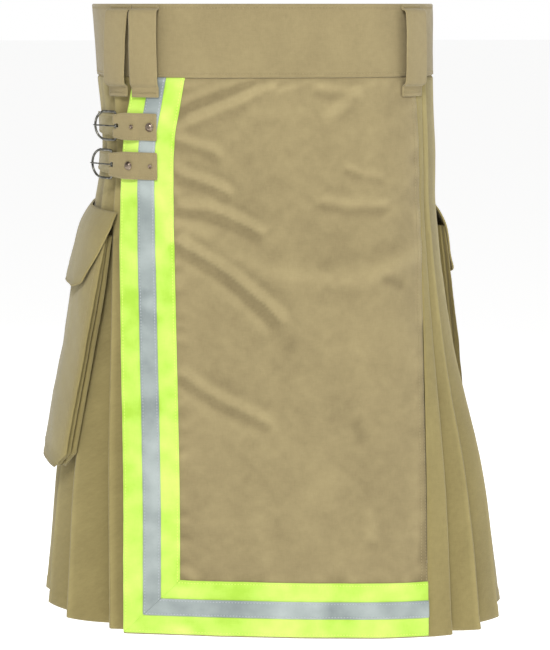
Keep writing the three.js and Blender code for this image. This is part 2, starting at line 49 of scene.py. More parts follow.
camera_data = bpy.data.cameras.new("camera")
camera_data.sensor_fit = "VERTICAL"
camera_data.sensor_height = 24
camera_data.lens = 74.66
camera = bpy.data.objects.new("camera", camera_data)
camera.location = (
    CAMERA_DISTANCE * math.sin(CAMERA_TURN) + CAMERA_ASIDE * math.cos(CAMERA_TURN),
    -CAMERA_DISTANCE * math.cos(CAMERA_TURN) + CAMERA_ASIDE * math.sin(CAMERA_TURN),
    0.034,
)
camera.rotation_euler = (math.pi / 2 - CAMERA_PITCH, 0, CAMERA_TURN)
bpy.context.scene.collection.objects.link(camera)
bpy.context.scene.camera = camera

world = bpy.data.worlds.new("white studio")
world.use_nodes = True
world.node_tree.nodes["Background"].inputs["Color"].default_value = (1.0, 1.0, 1.0, 1)
sky = world.node_tree.nodes["Background"]
# The sky the camera sees is a clean white; the light it gives is softer.
seen = world.node_tree.nodes.new("ShaderNodeLightPath")
sky_strength = world.node_tree.nodes.new("ShaderNodeMapRange")
sky_strength.inputs["To Min"].default_value = 0.42
sky_strength.inputs["To Max"].default_value = 1.0
world.node_tree.links.new(seen.outputs["Is Camera Ray"], sky_strength.inputs["Value"])
world.node_tree.links.new(sky_strength.outputs["Result"], sky.inputs["Strength"])
bpy.context.scene.world = world
bpy.context.scene.view_settings.view_transform = "Standard"


def soft_lamp(name, place, aim, size, power):
    lamp = bpy.data.lights.new(name, "AREA")
    lamp.shape = "DISK"
    lamp.size = size
    lamp.energy = power
    lamp_object = bpy.data.objects.new(name, lamp)
    lamp_object.location = place
    toward = np.array(aim) - np.array(place)
    flat = math.hypot(toward[0], toward[1])
    lamp_object.rotation_euler = (
        math.pi / 2 + math.atan2(toward[2], flat),
        0,
        math.atan2(toward[1], toward[0]) - math.pi / 2,
    )
    bpy.context.scene.collection.objects.link(lamp_object)


soft_lamp("key lamp", (-0.5, -2.9, 2.1), (0, 0, -0.25), 1.1, 86)
soft_lamp("fill lamp", (2.6, -1.8, 0.6), (0, 0, -0.3), 1.6, 14)
soft_lamp("back lamp", (0.6, 3.0, 1.6), (0, 0, -0.2), 1.8, 40)

floor_paint = bpy.data.materials.new("pale floor")
floor_paint.use_nodes = True
floor_shader = floor_paint.node_tree.nodes["Principled BSDF"]
floor_shader.inputs["Base Color"].default_value = (0.93, 0.93, 0.92, 1)
floor_shader.inputs["Roughness"].default_value = 0.9
floor_shader.inputs["Emission Color"].default_value = (1.0, 1.0, 1.0, 1)
floor_shader.inputs["Emission Strength"].default_value = 0.56
floor_mesh = bpy.data.meshes.new("floor")
reach = 60.0
floor_mesh.from_pydata(
    [
        (-reach, -reach, -WAIST_HEIGHT),
        (reach, -reach, -WAIST_HEIGHT),
        (reach, reach, -WAIST_HEIGHT),
        (-reach, reach, -WAIST_HEIGHT),
    ],
    [],
    [(0, 1, 2, 3)],
)
floor_mesh.materials.append(floor_paint)
floor = bpy.data.objects.new("floor", floor_mesh)
bpy.context.scene.collection.objects.link(floor)

# ---------------------------------------------------------------------------------------------
# Pleated sides and back. Khaki cotton canvas in knife pleats with their folds facing back, pressed,
# turned up and stitched at the hem, and joined at centre back. Cloth places are in millimetres:
# z up, s round from centre front (the wearer's left is positive) and off outwards.
BAND_TOP = 34.0
BAND_SEAM = -34.0
SKIRT_TOP = -34.3
HEM = -572.0
HEM_TILT = 0.045
HEM_RISE = 0.055
HEM_RISE_FROM = -110.0
SEAM_GAP = 0.3
CANVAS = 1.3

HALF_WIDTH_LEFT = [(34, 170), (-36, 170.5), (-110, 173), (-165, 173), (-300, 190), (-440, 222), (-576, 238)]
HALF_WIDTH_RIGHT = [(34, 170), (-36, 166), (-80, 162.5), (-120, 163), (-165, 171), (-300, 191),
                    (-440, 218), (-576, 234)]
HALF_DEPTH = [(34, 118), (-36, 119), (-150, 127), (-300, 143), (-440, 156), (-576, 167)]
MIDDLE_X = [(34, 0), (-150, 1), (-576, 8)]
FRONT_SQUARENESS = [(34, 2.7), (-150, 3.0), (-576, 3.2)]
BACK_SQUARENESS = 2.4
APRON_SEAM = [(-36, 150), (-150, 154), (-250, 152), (-400, 147), (-576, 144)]
FOLDS = {
    1: ((160, 170, 200, 230, 260, 290, 320, 350, 384), (171, 209, 258, 312, 366, 420, 474, 528, 584)),
    -1: ((165, 190, 215, 240, 266, 292, 320, 350, 384), (172, 227, 275, 320, 370, 422, 474, 528, 584)),
}
PLEAT_GAP = [(-36, 2.1), (-150, 2.5), (-300, 5.5), (-576, 10.5)]
UNDERLAP = 0.58
UNDER_LAYER = [(34, -4.6), (-36, -5.0), (-150, -6), (-576, -13)]
UNDER_SEAM = 140.0
HEM_TURN = 12.0
FOLD_RADIUS = 2.2
RIM_ROUNDING = 0.42
RIM_WEAR = 0.8
TUCK_FROM = -38.0
TUCK_RUN = 4.5
TUCK_DEPTH = 2.9
TUCK_TOP = -30.5


def along(stations, height):
    """Value at a height on a smooth curve through (z, value) stations."""
    z = np.array([station[0] for station in stations[::-1]], float)
    v = np.array([station[1] for station in stations[::-1]], float)
    before = np.maximum(np.arange(len(z)) - 1, 0)
    after = np.minimum(np.arange(len(z)) + 1, len(z) - 1)
    slope = (v[after] - v[before]) / (z[after] - z[before])
    h = np.clip(height, z[0], z[-1])
    i = np.clip(np.searchsorted(z, h, side="right") - 1, 0, len(z) - 2)
    span = z[i + 1] - z[i]
    t = (h - z[i]) / span
    bend = (1 - t) * slope[i] - t * slope[i + 1]
    return v[i] + (v[i + 1] - v[i]) * t * t * (3 - 2 * t) + span * t * (1 - t) * bend


def plan(z, phi):
    """Point of the kilt's oval plan at height z, seen at angle phi from centre front."""
    a = np.where(phi >= 0, along(HALF_WIDTH_LEFT, z), along(HALF_WIDTH_RIGHT, z))
    b = along(HALF_DEPTH, z)
    n = np.where(np.cos(phi) > 0, along(FRONT_SQUARENESS, z), BACK_SQUARENESS)
    far = (np.abs(np.sin(phi) / a) ** n + np.abs(np.cos(phi) / b) ** n) ** (-1 / n)
    return along(MIDDLE_X, z) + far * np.sin(phi), -far * np.cos(phi)


LEVEL_STEP = 2.0
LEVELS = np.arange(BAND_TOP + 4, HEM - 16, -LEVEL_STEP)
SHARES = np.linspace(0, 1, 401)
halves = {}
turns = {}
for side in (-1, 1):
    phi = side * np.linspace(0, math.pi, 361)[None, :]
    x, y = plan(LEVELS[:, None], phi)
    steps = np.hypot(np.diff(x, axis=1), np.diff(y, axis=1))
    lengths = np.concatenate([np.zeros((len(LEVELS), 1)), np.cumsum(steps, axis=1)], axis=1)
    halves[side] = lengths[:, -1]
    turns[side] = np.array([np.interp(SHARES * row[-1], row, np.abs(phi[0])) for row in lengths])


def half_round(z, side):
    """Length round one side of the plan, from centre front to centre back."""
    return np.interp(-np.asarray(z, float), -LEVELS, halves[side])


def on_kilt(z, s, off=0.0):
    """Cloth points at height z, s round from centre front and off outwards."""
    z, s, off = np.broadcast_arrays(np.asarray(z, float), np.asarray(s, float), np.asarray(off, float))
    # A place beyond centre back lies on the other half.
    own = np.where(s < 0, half_round(z, -1), half_round(z, 1))
    other = np.where(s < 0, half_round(z, 1), half_round(z, -1))
    past = np.abs(s) - own
    s = np.where(past > 0, -np.sign(s) * (other - past), s)
    phi = np.zeros(z.shape)
    level = np.clip((LEVELS[0] - z) / LEVEL_STEP, 0, len(LEVELS) - 1.001)
    k = level.astype(int)
    for side in (-1, 1):
        here = (s < 0) if side < 0 else (s >= 0)
        share = np.clip(np.abs(s) / half_round(z, side), 0, 0.99999) * (len(SHARES) - 1)
        m = share.astype(int)
        down = level - k
        over = share - m
        table = turns[side]
        upper = table[k, m] * (1 - over) + table[k, m + 1] * over
        lower = table[k + 1, m] * (1 - over) + table[k + 1, m + 1] * over
        phi = np.where(here, side * (upper * (1 - down) + lower * down), phi)
    x, y = plan(z, phi)
    x1, y1 = plan(z, phi + 1e-3)
    x0, y0 = plan(z, phi - 1e-3)
    length = np.hypot(x1 - x0, y1 - y0)
    nx = (y1 - y0) / length
    ny = -(x1 - x0) / length
    px = x + nx * off
    py = y + ny * off
    drop = np.maximum(0, (BAND_SEAM - z) / (BAND_SEAM - HEM))
    lift = HEM_RISE * np.maximum(0, py - HEM_RISE_FROM) - HEM_TILT * px
    return np.stack([px, py, z + lift * drop], axis=-1)


def crinkle(z, s, tall, wide, seed):
    """Smooth uneven swelling from -1 to 1, about tall by wide millimetres."""
    z, s = np.broadcast_arrays(z, s)
    pairs = zip((s / wide).ravel(), (z / tall).ravel())
    return np.array([noise.noise((a, b, seed)) for a, b in pairs]).reshape(z.shape)


def through(points, steps):
    """A smooth path through the given points, with so many steps between each two."""
    knots = np.array(points, float)
    ends = np.vstack([2 * knots[0] - knots[1], knots, 2 * knots[-1] - knots[-2]])
    path = []
    for i in range(len(knots) - 1):
        p0, p1, p2, p3 = ends[i:i + 4]
        for t in np.linspace(0, 1, steps + 1)[:-1]:
            path.append(0.5 * (2 * p1 + (p2 - p0) * t + (2 * p0 - 5 * p1 + 4 * p2 - p3) * t * t
                               + (3 * p1 - p0 - 3 * p2 + p3) * t ** 3))
    path.append(knots[-1])
    return np.array(path)


def soft_line(z, s, points, width):
    """Signed distance from a smooth line, in widths, and a share that fades towards its ends."""
    path = through(points, 6)
    best = np.full(z.shape, 1e9)
    place = np.zeros(z.shape)
    sign = np.ones(z.shape)
    for i in range(len(path) - 1):
        d = path[i + 1] - path[i]
        t = np.clip(((s - path[i][0]) * d[0] + (z - path[i][1]) * d[1]) / (d @ d), 0, 1)
        ds = s - path[i][0] - d[0] * t
        dz = z - path[i][1] - d[1] * t
        far = np.hypot(ds, dz)
        nearer = far < best
        best = np.where(nearer, far, best)
        place = np.where(nearer, (i + t) / (len(path) - 1), place)
        sign = np.where(nearer, np.sign(d[0] * dz - d[1] * ds), sign)
    fade = np.clip(6 * place * (1 - place), 0, 1)
    return sign * best / width, fade


def ridge(z, s, points, width, height):
    far, fade = soft_line(z, s, points, width)
    return height * fade * np.exp(-far * far)


def fold(z, s, points, width, height):
    """A ridge on the line's left with a trough on its right."""
    far, fade = soft_line(z, s, points, width)
    return height * fade * (np.exp(-(far - 0.8) ** 2) - np.exp(-(far + 0.8) ** 2))


def pucker(distance, run, seed, reach=6.0, height=0.35, pitch=8.0):
    """Small gathers that a row of stitches pulls into the cloth beside it."""
    run, distance = np.broadcast_arrays(run, distance)
    wave = np.array([noise.noise((a / pitch, seed, 0.5)) for a in run.ravel()]).reshape(run.shape)
    return height * wave * np.exp(-(distance / reach) ** 2)


def tuck(z):
    """Share of the way in behind the waistband, where the skirt's top is sewn up under it."""
    share = np.clip((np.asarray(z, float) - TUCK_FROM) / TUCK_RUN, 0, 1)
    return share * share * (3 - 2 * share)


def side_relief(z, s):
    """How far the pleated cloth stands from its plain form."""
    z, s = np.broadcast_arrays(np.asarray(z, float), np.asarray(s, float))
    low = np.clip((-60 - z) / 400, 0, 1)
    total = (0.5 + 1.6 * low) * crinkle(z, s, 170, 42, 3.1) + 0.5 * crinkle(z, s, 60, 26, 5.7)
    total = total + 0.22 * crinkle(z, s, 16, 12, 8.3)
    return total * np.clip((-38 - z) / 14, 0, 1)


def on_side(z, s, off=0.0):
    return on_kilt(z, s, off + side_relief(z, s) - TUCK_DEPTH * tuck(z))


def rounded_path(corners, radius, steps=4):
    """Corner places for every row, shaped (corner, row, 2), with each inner corner rounded."""
    path = [corners[0]]
    for before, corner, after in zip(corners[:-2], corners[1:-1], corners[2:]):
        back = before - corner
        on = after - corner
        back_length = np.linalg.norm(back, axis=1, keepdims=True)
        on_length = np.linalg.norm(on, axis=1, keepdims=True)
        cut = np.minimum(radius, 0.45 * np.minimum(back_length, on_length))
        start = corner + back / back_length * cut
        end = corner + on / on_length * cut
        for t in np.linspace(0, 1, steps + 1):
            path.append((1 - t) ** 2 * start + 2 * t * (1 - t) * corner + t * t * end)
    path.append(corners[-1])
    return path


def filled_path(path, pitch):
    """The same path with points added so that none are further apart than pitch."""
    filled = [path[0]]
    for a, b in zip(path[:-1], path[1:]):
        longest = np.linalg.norm(b - a, axis=1).max()
        count = max(1, math.ceil(longest / pitch))
        for i in range(1, count + 1):
            filled.append(a + (b - a) * i / count)
    return np.array(filled)


def new_piece(name, points, faces, uv=None, wear_and_shade=None):
    """A mesh object from points in millimetres. Cloth also has UVs in metres and a wear-and-shade
    attribute: real wear with painted shade and highlight.
    """
    mesh = bpy.data.meshes.new(name)
    mesh.from_pydata((np.asarray(points) * 0.001).tolist(), [], faces)
    if uv is not None:
        loops = np.zeros(len(mesh.loops), int)
        mesh.loops.foreach_get("vertex_index", loops)
        layer = mesh.uv_layers.new(name="cloth")
        layer.data.foreach_set("uv", (np.asarray(uv)[loops] * 0.001).ravel())
    if wear_and_shade is not None:
        attribute = mesh.attributes.new("wear_and_shade", "FLOAT", "POINT")
        attribute.data.foreach_set("value", np.asarray(wear_and_shade, float))
    mesh.shade_smooth()
    piece = bpy.data.objects.new(name, mesh)
    bpy.context.scene.collection.objects.link(piece)
    return piece


def cloth_piece(name, grid, thickness, uv, wear_and_shade=None, cut=None, wrap=False):
    """A cloth wall with rounded edges from a grid of mid-cloth points, shaped (row, column, 3).
    Quads marked in cut are left out. wrap joins the last column to the first."""
    rows, columns = grid.shape[:2]
    thick = np.broadcast_to(thickness, (rows, columns))[..., None]
    if wrap:
        before = grid - np.roll(grid, 1, axis=1)
        after = np.roll(grid, -1, axis=1) - grid
    else:
        before = np.diff(grid, axis=1, prepend=2 * grid[:, :1] - grid[:, 1:2])
        after = np.diff(grid, axis=1, append=2 * grid[:, -1:] - grid[:, -2:-1])
    before = before / np.maximum(np.linalg.norm(before, axis=2, keepdims=True), 1e-9)
    after = after / np.maximum(np.linalg.norm(after, axis=2, keepdims=True), 1e-9)
    down = np.gradient(grid, axis=0)
    normal = np.cross(before + after, down)
    normal /= np.maximum(np.linalg.norm(normal, axis=2, keepdims=True), 1e-9)
    outer = (grid + normal * thick / 2).reshape(-1, 3)
    inner = (grid - normal * thick / 2).reshape(-1, 3)
    middle = grid.reshape(-1, 3)
    last = columns if wrap else columns - 1
    j, i = np.meshgrid(np.arange(rows - 1), np.arange(last), indexing="ij")
    a = (j * columns + i).ravel()
    b = (j * columns + (i + 1) % columns).ravel()
    quads = np.stack([a, a + columns, b + columns, b], axis=1)
    if cut is not None:
        quads = quads[~np.asarray(cut).ravel()]
    edges = np.concatenate([quads[:, [k, (k + 1) % 4]] for k in range(4)])
    centres = np.tile(middle[quads].mean(axis=1), (4, 1))
    known = set(map(tuple, edges.tolist()))
    open_edges = [k for k, (p, q) in enumerate(edges.tolist()) if (q, p) not in known]
    outward = {}
    for k in open_edges:
        p, q = edges[k]
        run = middle[q] - middle[p]
        run = run / max(np.linalg.norm(run), 1e-9)
        away = (middle[p] + middle[q]) / 2 - centres[k]
        away = away - run * (away @ run)
        away = away / max(np.linalg.norm(away), 1e-9)
        outward[p] = outward.get(p, 0) + away
        outward[q] = outward.get(q, 0) + away
    rim = {}
    rim_points = []
    count = len(middle)
    thick_flat = thick.reshape(-1)
    for vertex, away in outward.items():
        rim[vertex] = 2 * count + len(rim_points)
        away = away / max(np.linalg.norm(away), 1e-9)
        rim_points.append(middle[vertex] + away * thick_flat[vertex] * RIM_ROUNDING)
    rim_faces = []
    for k in open_edges:
        p, q = (int(v) for v in edges[k])
        rim_faces.append([q, p, rim[p], rim[q]])
        rim_faces.append([rim[q], rim[p], count + p, count + q])
    points = np.concatenate([outer, inner, np.array(rim_points)])
    faces = np.concatenate([quads, quads[:, ::-1] + count, np.array(rim_faces)])
    used = np.unique(faces)
    renumber = np.zeros(len(points), int)
    renumber[used] = np.arange(len(used))
    rim_vertices = np.array(list(outward.keys()), int)
    uv_flat = uv.reshape(-1, 2)
    uv_all = np.concatenate([uv_flat, uv_flat, uv_flat[rim_vertices]])
    # Rims are made lighter as real wear; the given values add wear and painted shade.
    wear_and_shade_flat = np.zeros(count) if wear_and_shade is None else np.broadcast_to(wear_and_shade, (rows, columns)).reshape(-1)
    rim_wear_and_shade = wear_and_shade_flat[rim_vertices] + RIM_WEAR
    wear_and_shade_all = np.concatenate([wear_and_shade_flat, wear_and_shade_flat, rim_wear_and_shade])
    return new_piece(name, points[used], renumber[faces].tolist(), uv_all[used], wear_and_shade_all[used])


def normals_of(grid):
    """Outward directions of a cloth grid, shaped (row, column, 3)."""
    normals = np.cross(np.gradient(grid, axis=1), np.gradient(grid, axis=0))
    return normals / np.linalg.norm(normals, axis=2, keepdims=True)


def path_uv(grid, z):
    """UVs along the cloth: length along each row, and height."""
    steps = np.linalg.norm(np.diff(grid, axis=1), axis=2)
    run = np.concatenate([np.zeros((len(grid), 1)), np.cumsum(steps, axis=1)], axis=1)
    return np.stack([run, np.broadcast_to(z, run.shape)], axis=-1)


# ---- Effects that several finishes share ----
def group_with(name, inputs, outputs):
    tree = bpy.data.node_groups.new(name, "ShaderNodeTree")
    for socket, kind, value in inputs:
        made = tree.interface.new_socket(socket, in_out="INPUT", socket_type=kind)
        made.default_value = value
    for socket, kind in outputs:
        tree.interface.new_socket(socket, in_out="OUTPUT", socket_type=kind)
    return tree, tree.nodes.new("NodeGroupInput"), tree.nodes.new("NodeGroupOutput")


def math_node(tree, operation, a, b=None, clamp=False):
    node = tree.nodes.new("ShaderNodeMath")
    node.operation = operation
    node.use_clamp = clamp
    for socket, value in zip(node.inputs, (a, b)):
        if value is None:
            continue
        if isinstance(value, (int, float)):
            socket.default_value = value
        else:
            tree.links.new(value, socket)
    return node.outputs[0]


def noise_node(tree, vector, scale, detail=3.0, roughness=0.55):
    node = tree.nodes.new("ShaderNodeTexNoise")
    node.inputs["Scale"].default_value = scale
    node.inputs["Detail"].default_value = detail
    node.inputs["Roughness"].default_value = roughness
    tree.links.new(vector, node.inputs["Vector"])
    return node.outputs["Fac"]


def stretched(tree, vector, scale):
    node = tree.nodes.new("ShaderNodeVectorMath")
    node.operation = "MULTIPLY"
    node.inputs[1].default_value = scale
    tree.links.new(vector, node.inputs[0])
    return node.outputs[0]


# Plain weave: warp and weft yarns that cross over and under, a little uneven in thickness.
weave, weave_in, weave_out = group_with(
    "Plain weave",
    [("Vector", "NodeSocketVector", (0, 0, 0)), ("Yarns per Metre", "NodeSocketFloat", 1500.0)],
    [("Height", "NodeSocketFloat"), ("Slub", "NodeSocketFloat")],
)
split = weave.nodes.new("ShaderNodeSeparateXYZ")
weave.links.new(weave_in.outputs["Vector"], split.inputs[0])
turn = math_node(weave, "MULTIPLY", weave_in.outputs["Yarns per Metre"], math.pi)
across = math_node(weave, "MULTIPLY", split.outputs["X"], turn)
down = math_node(weave, "MULTIPLY", split.outputs["Y"], turn)
over = math_node(weave, "MULTIPLY", math_node(weave, "SINE", across), math_node(weave, "SINE", down))
yarn = math_node(
    weave, "ADD",
    math_node(weave, "ABSOLUTE", math_node(weave, "SINE", across)),
    math_node(weave, "ABSOLUTE", math_node(weave, "SINE", down)),
)
slub_long = noise_node(weave, stretched(weave, weave_in.outputs["Vector"], (1500, 110, 1)), 1.0, 2.0)
slub_cross = noise_node(weave, stretched(weave, weave_in.outputs["Vector"], (110, 1500, 1)), 1.0, 2.0)
slub = math_node(weave, "MULTIPLY", math_node(weave, "ADD", slub_long, slub_cross), 0.5)
crossings = math_node(weave, "MULTIPLY", over, 0.35)
bumps = math_node(weave, "ADD", crossings, math_node(weave, "MULTIPLY", yarn, 0.25))
height = math_node(weave, "ADD", bumps, math_node(weave, "MULTIPLY", slub, 0.8))
weave.links.new(height, weave_out.inputs["Height"])
weave.links.new(slub, weave_out.inputs["Slub"])

# Dye: one colour to another by slow patches, yarn streaks and the wear and painted shade stored on the
# cloth.
dye, dye_in, dye_out = group_with(
    "Uneven dye",
    [("Vector", "NodeSocketVector", (0, 0, 0)), ("Slub", "NodeSocketFloat", 0.5),
     ("Wear and Shade", "NodeSocketFloat", 0.0), ("Dark", "NodeSocketColor", (0, 0, 0, 1)),
     ("Light", "NodeSocketColor", (1, 1, 1, 1))],
    [("Color", "NodeSocketColor"), ("Patch", "NodeSocketFloat")],
)
patch = noise_node(dye, stretched(dye, dye_in.outputs["Vector"], (14, 9, 1)), 1.0, 5.0, 0.6)
fine = noise_node(dye, dye_in.outputs["Vector"], 160.0, 4.0, 0.65)
level = math_node(dye, "MULTIPLY", patch, 0.75)
for part, weight in ((fine, 0.35), (dye_in.outputs["Slub"], 0.4), (dye_in.outputs["Wear and Shade"], 0.45)):
    level = math_node(dye, "ADD", level, math_node(dye, "MULTIPLY", part, weight))
level = math_node(dye, "SUBTRACT", level, 0.25, clamp=True)
blend = dye.nodes.new("ShaderNodeMix")
blend.data_type = "RGBA"
dye.links.new(level, blend.inputs["Factor"])
dye.links.new(dye_in.outputs["Dark"], blend.inputs[6])
dye.links.new(dye_in.outputs["Light"], blend.inputs[7])
dye.links.new(blend.outputs[2], dye_out.inputs["Color"])
dye.links.new(patch, dye_out.inputs["Patch"])


def new_finish(name):
    material = bpy.data.materials.new(name)
    material.use_nodes = True
    tree = material.node_tree
    return material, tree, tree.nodes["Principled BSDF"]


def dyed(tree, shader, dark, light):
    """Colours a finish by the uneven dye. Gives the piece's cloth UVs and the dye's node."""
    place = tree.nodes.new("ShaderNodeUVMap")
    place.uv_map = "cloth"
    # The stored wear and painted shade and highlight lighten or darken the dye.
    wear_and_shade = tree.nodes.new("ShaderNodeAttribute")
    wear_and_shade.attribute_name = "wear_and_shade"
    colour = tree.nodes.new("ShaderNodeGroup")
    colour.node_tree = dye
    colour.inputs["Dark"].default_value = (*dark, 1)
    colour.inputs["Light"].default_value = (*light, 1)
    tree.links.new(place.outputs["UV"], colour.inputs["Vector"])
    tree.links.new(wear_and_shade.outputs["Fac"], colour.inputs["Wear and Shade"])
    tree.links.new(colour.outputs["Color"], shader.inputs["Base Color"])
    return place.outputs["UV"], colour


def roughen(tree, shader, value, low, high):
    """Roughness from low to high, by a value from 0 to 1."""
    rough = tree.nodes.new("ShaderNodeMapRange")
    rough.inputs["To Min"].default_value = low
    rough.inputs["To Max"].default_value = high
    tree.links.new(value, rough.inputs["Value"])
    tree.links.new(rough.outputs["Result"], shader.inputs["Roughness"])


def emboss(tree, shader, height, strength, distance):
    relief = tree.nodes.new("ShaderNodeBump")
    relief.inputs["Strength"].default_value = strength
    relief.inputs["Distance"].default_value = distance
    tree.links.new(height, relief.inputs["Height"])
    tree.links.new(relief.outputs["Normal"], shader.inputs["Normal"])


def woven_finish(name, dark, light, yarns=1500.0, roughness=(0.82, 0.95), sheen=0.25, painted_glow=0.0,
                 bump=0.5):
    """A woven cloth: dyed unevenly, with yarn relief, on the piece's own cloth UVs, with an optional
    painted glow of its own colour.
    """
    material, tree, shader = new_finish(name)
    place, colour = dyed(tree, shader, dark, light)
    cloth = tree.nodes.new("ShaderNodeGroup")
    cloth.node_tree = weave
    cloth.inputs["Yarns per Metre"].default_value = yarns
    tree.links.new(place, cloth.inputs["Vector"])
    tree.links.new(cloth.outputs["Slub"], colour.inputs["Slub"])
    roughen(tree, shader, colour.outputs["Patch"], *roughness)
    emboss(tree, shader, cloth.outputs["Height"], bump, 0.0004)
    shader.inputs["Sheen Weight"].default_value = sheen
    shader.inputs["Sheen Roughness"].default_value = 0.5
    shader.inputs["Specular IOR Level"].default_value = 0.25
    # Painted glow: the cloth's own colour is also sent out as light.
    if painted_glow:
        tree.links.new(colour.outputs["Color"], shader.inputs["Emission Color"])
        shader.inputs["Emission Strength"].default_value = painted_glow
    return material


# One canvas in two copies: the sides' copy is painted darker and browner than the front's, as shade on the
# sides that turn from the lamps.
canvas_painted_side_shade = woven_finish("khaki canvas, painted side shade", (0.18, 0.141, 0.050), (0.39, 0.322, 0.128))
front_canvas = woven_finish("khaki canvas, front", (0.195, 0.152, 0.072), (0.40, 0.325, 0.163))
thread = woven_finish("khaki thread", (0.26, 0.21, 0.095), (0.46, 0.38, 0.20), yarns=2600, bump=0.3)


def sew(piece, material, slot, *nodes):
    """Gives a piece its finish and makes it stand for the nodes it was built on."""
    piece.data.materials.clear()
    piece.data.materials.append(material)
    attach(piece, "root")
    if nodes:
        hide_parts(*nodes)


# Stitching: one small lens-shaped stitch after another along each line, turned to the cloth.
stitching = bpy.data.node_groups.new("Row of stitches", "GeometryNodeTree")
sockets = {}
for socket, kind, value in (
    ("Geometry", "NodeSocketGeometry", None),
    ("Pitch", "NodeSocketFloat", 0.003),
    ("Length", "NodeSocketFloat", 0.0024),
    ("Thread", "NodeSocketFloat", 0.0007),
    ("Unevenness", "NodeSocketFloat", 0.15),
    ("Finish", "NodeSocketMaterial", None),
):
    made = stitching.interface.new_socket(socket, in_out="INPUT", socket_type=kind)
    sockets[socket] = made.identifier
    if value is not None:
        made.default_value = value
stitching.interface.new_socket("Geometry", in_out="OUTPUT", socket_type="NodeSocketGeometry")
given = stitching.nodes.new("NodeGroupInput")
result = stitching.nodes.new("NodeGroupOutput")
to_curve = stitching.nodes.new("GeometryNodeMeshToCurve")
resample = stitching.nodes.new("GeometryNodeResampleCurve")
resample.mode = "LENGTH"
bead = stitching.nodes.new("GeometryNodeMeshUVSphere")
bead.inputs["Segments"].default_value = 6
bead.inputs["Rings"].default_value = 3
bead.inputs["Radius"].default_value = 0.5
tangent = stitching.nodes.new("GeometryNodeInputTangent")
outwards = stitching.nodes.new("GeometryNodeInputNamedAttribute")
outwards.data_type = "FLOAT_VECTOR"
outwards.inputs["Name"].default_value = "out"
axes = stitching.nodes.new("FunctionNodeAxesToRotation")
axes.primary_axis = "X"
axes.secondary_axis = "Z"
sizes = stitching.nodes.new("ShaderNodeCombineXYZ")
uneven = stitching.nodes.new("FunctionNodeRandomValue")
uneven.data_type = "FLOAT"
uneven.inputs["Seed"].default_value = 7
shortest = stitching.nodes.new("ShaderNodeMath")
shortest.operation = "SUBTRACT"
shortest.inputs[0].default_value = 1.0
longer = stitching.nodes.new("ShaderNodeMath")
longer.operation = "MULTIPLY"
place_stitch = stitching.nodes.new("GeometryNodeInstanceOnPoints")
realize = stitching.nodes.new("GeometryNodeRealizeInstances")
dress = stitching.nodes.new("GeometryNodeSetMaterial")
link = stitching.links.new
link(given.outputs["Geometry"], to_curve.inputs["Mesh"])
link(to_curve.outputs["Curve"], resample.inputs["Curve"])
link(given.outputs["Pitch"], resample.inputs["Length"])
link(resample.outputs["Curve"], place_stitch.inputs["Points"])
link(bead.outputs["Mesh"], place_stitch.inputs["Instance"])
link(tangent.outputs["Tangent"], axes.inputs["Primary Axis"])
link(outwards.outputs["Attribute"], axes.inputs["Secondary Axis"])
link(axes.outputs["Rotation"], place_stitch.inputs["Rotation"])
link(given.outputs["Unevenness"], shortest.inputs[1])
link(shortest.outputs[0], uneven.inputs[2])
link(given.outputs["Length"], longer.inputs[0])
link(uneven.outputs[1], longer.inputs[1])
link(longer.outputs[0], sizes.inputs["X"])
link(given.outputs["Thread"], sizes.inputs["Y"])
link(given.outputs["Thread"], sizes.inputs["Z"])
link(sizes.outputs["Vector"], place_stitch.inputs["Scale"])
link(place_stitch.outputs["Instances"], realize.inputs["Geometry"])
link(realize.outputs["Geometry"], dress.inputs["Geometry"])
link(given.outputs["Finish"], dress.inputs["Material"])
link(dress.outputs["Geometry"], result.inputs["Geometry"])


def stitches(name, lines, pitch=3.0, length=2.5, thick=0.75, finish=None, slot="khaki_canvas"):
    """Rows of stitches. Each line is (points, outward directions), both shaped (count, 3)."""
    points = np.concatenate([line[0] for line in lines])
    outs = np.concatenate([line[1] for line in lines])
    edges = []
    start = 0
    for line in lines:
        edges += [(start + k, start + k + 1) for k in range(len(line[0]) - 1)]
        start += len(line[0])
    guide_mesh = bpy.data.meshes.new(name + "_guide")
    guide_mesh.from_pydata((points * 0.001).tolist(), edges, [])
    attribute = guide_mesh.attributes.new("out", "FLOAT_VECTOR", "POINT")
    attribute.data.foreach_set("vector", outs.ravel())
    guide = bpy.data.objects.new(name + "_guide", guide_mesh)
    bpy.context.scene.collection.objects.link(guide)
    modifier = guide.modifiers.new("stitches", "NODES")
    modifier.node_group = stitching
    modifier[sockets["Pitch"]] = pitch * 0.001
    modifier[sockets["Length"]] = length * 0.001
    modifier[sockets["Thread"]] = thick * 0.001
    modifier[sockets["Finish"]] = finish or thread
    evaluated = guide.evaluated_get(bpy.context.evaluated_depsgraph_get())
    mesh = bpy.data.meshes.new_from_object(evaluated)
    mesh.name = name
    mesh.shade_smooth()
    corners = np.zeros(len(mesh.vertices) * 3)
    mesh.vertices.foreach_get("co", corners)
    loops = np.zeros(len(mesh.loops), int)
    mesh.loops.foreach_get("vertex_index", loops)
    flat = corners.reshape(-1, 3)[loops]
    for old in list(mesh.uv_layers):
        mesh.uv_layers.remove(old)
    layer = mesh.uv_layers.new(name="cloth")
    layer.data.foreach_set("uv", np.stack([flat[:, 0] + flat[:, 1], flat[:, 2]], axis=1).ravel())
    piece = bpy.data.objects.new(name, mesh)
    bpy.context.scene.collection.objects.link(piece)
    bpy.data.objects.remove(guide)
    sew(piece, finish or thread, slot)
    return piece


def line_on(surface, z, s, off):
    """A stitch line on a surface, with its outward directions."""
    z, s, off = np.broadcast_arrays(np.asarray(z, float), np.asarray(s, float), np.asarray(off, float))
    here = surface(z, s, off)
    out = surface(z, s, off + 1.0) - here
    return here, out / np.linalg.norm(out, axis=-1, keepdims=True)


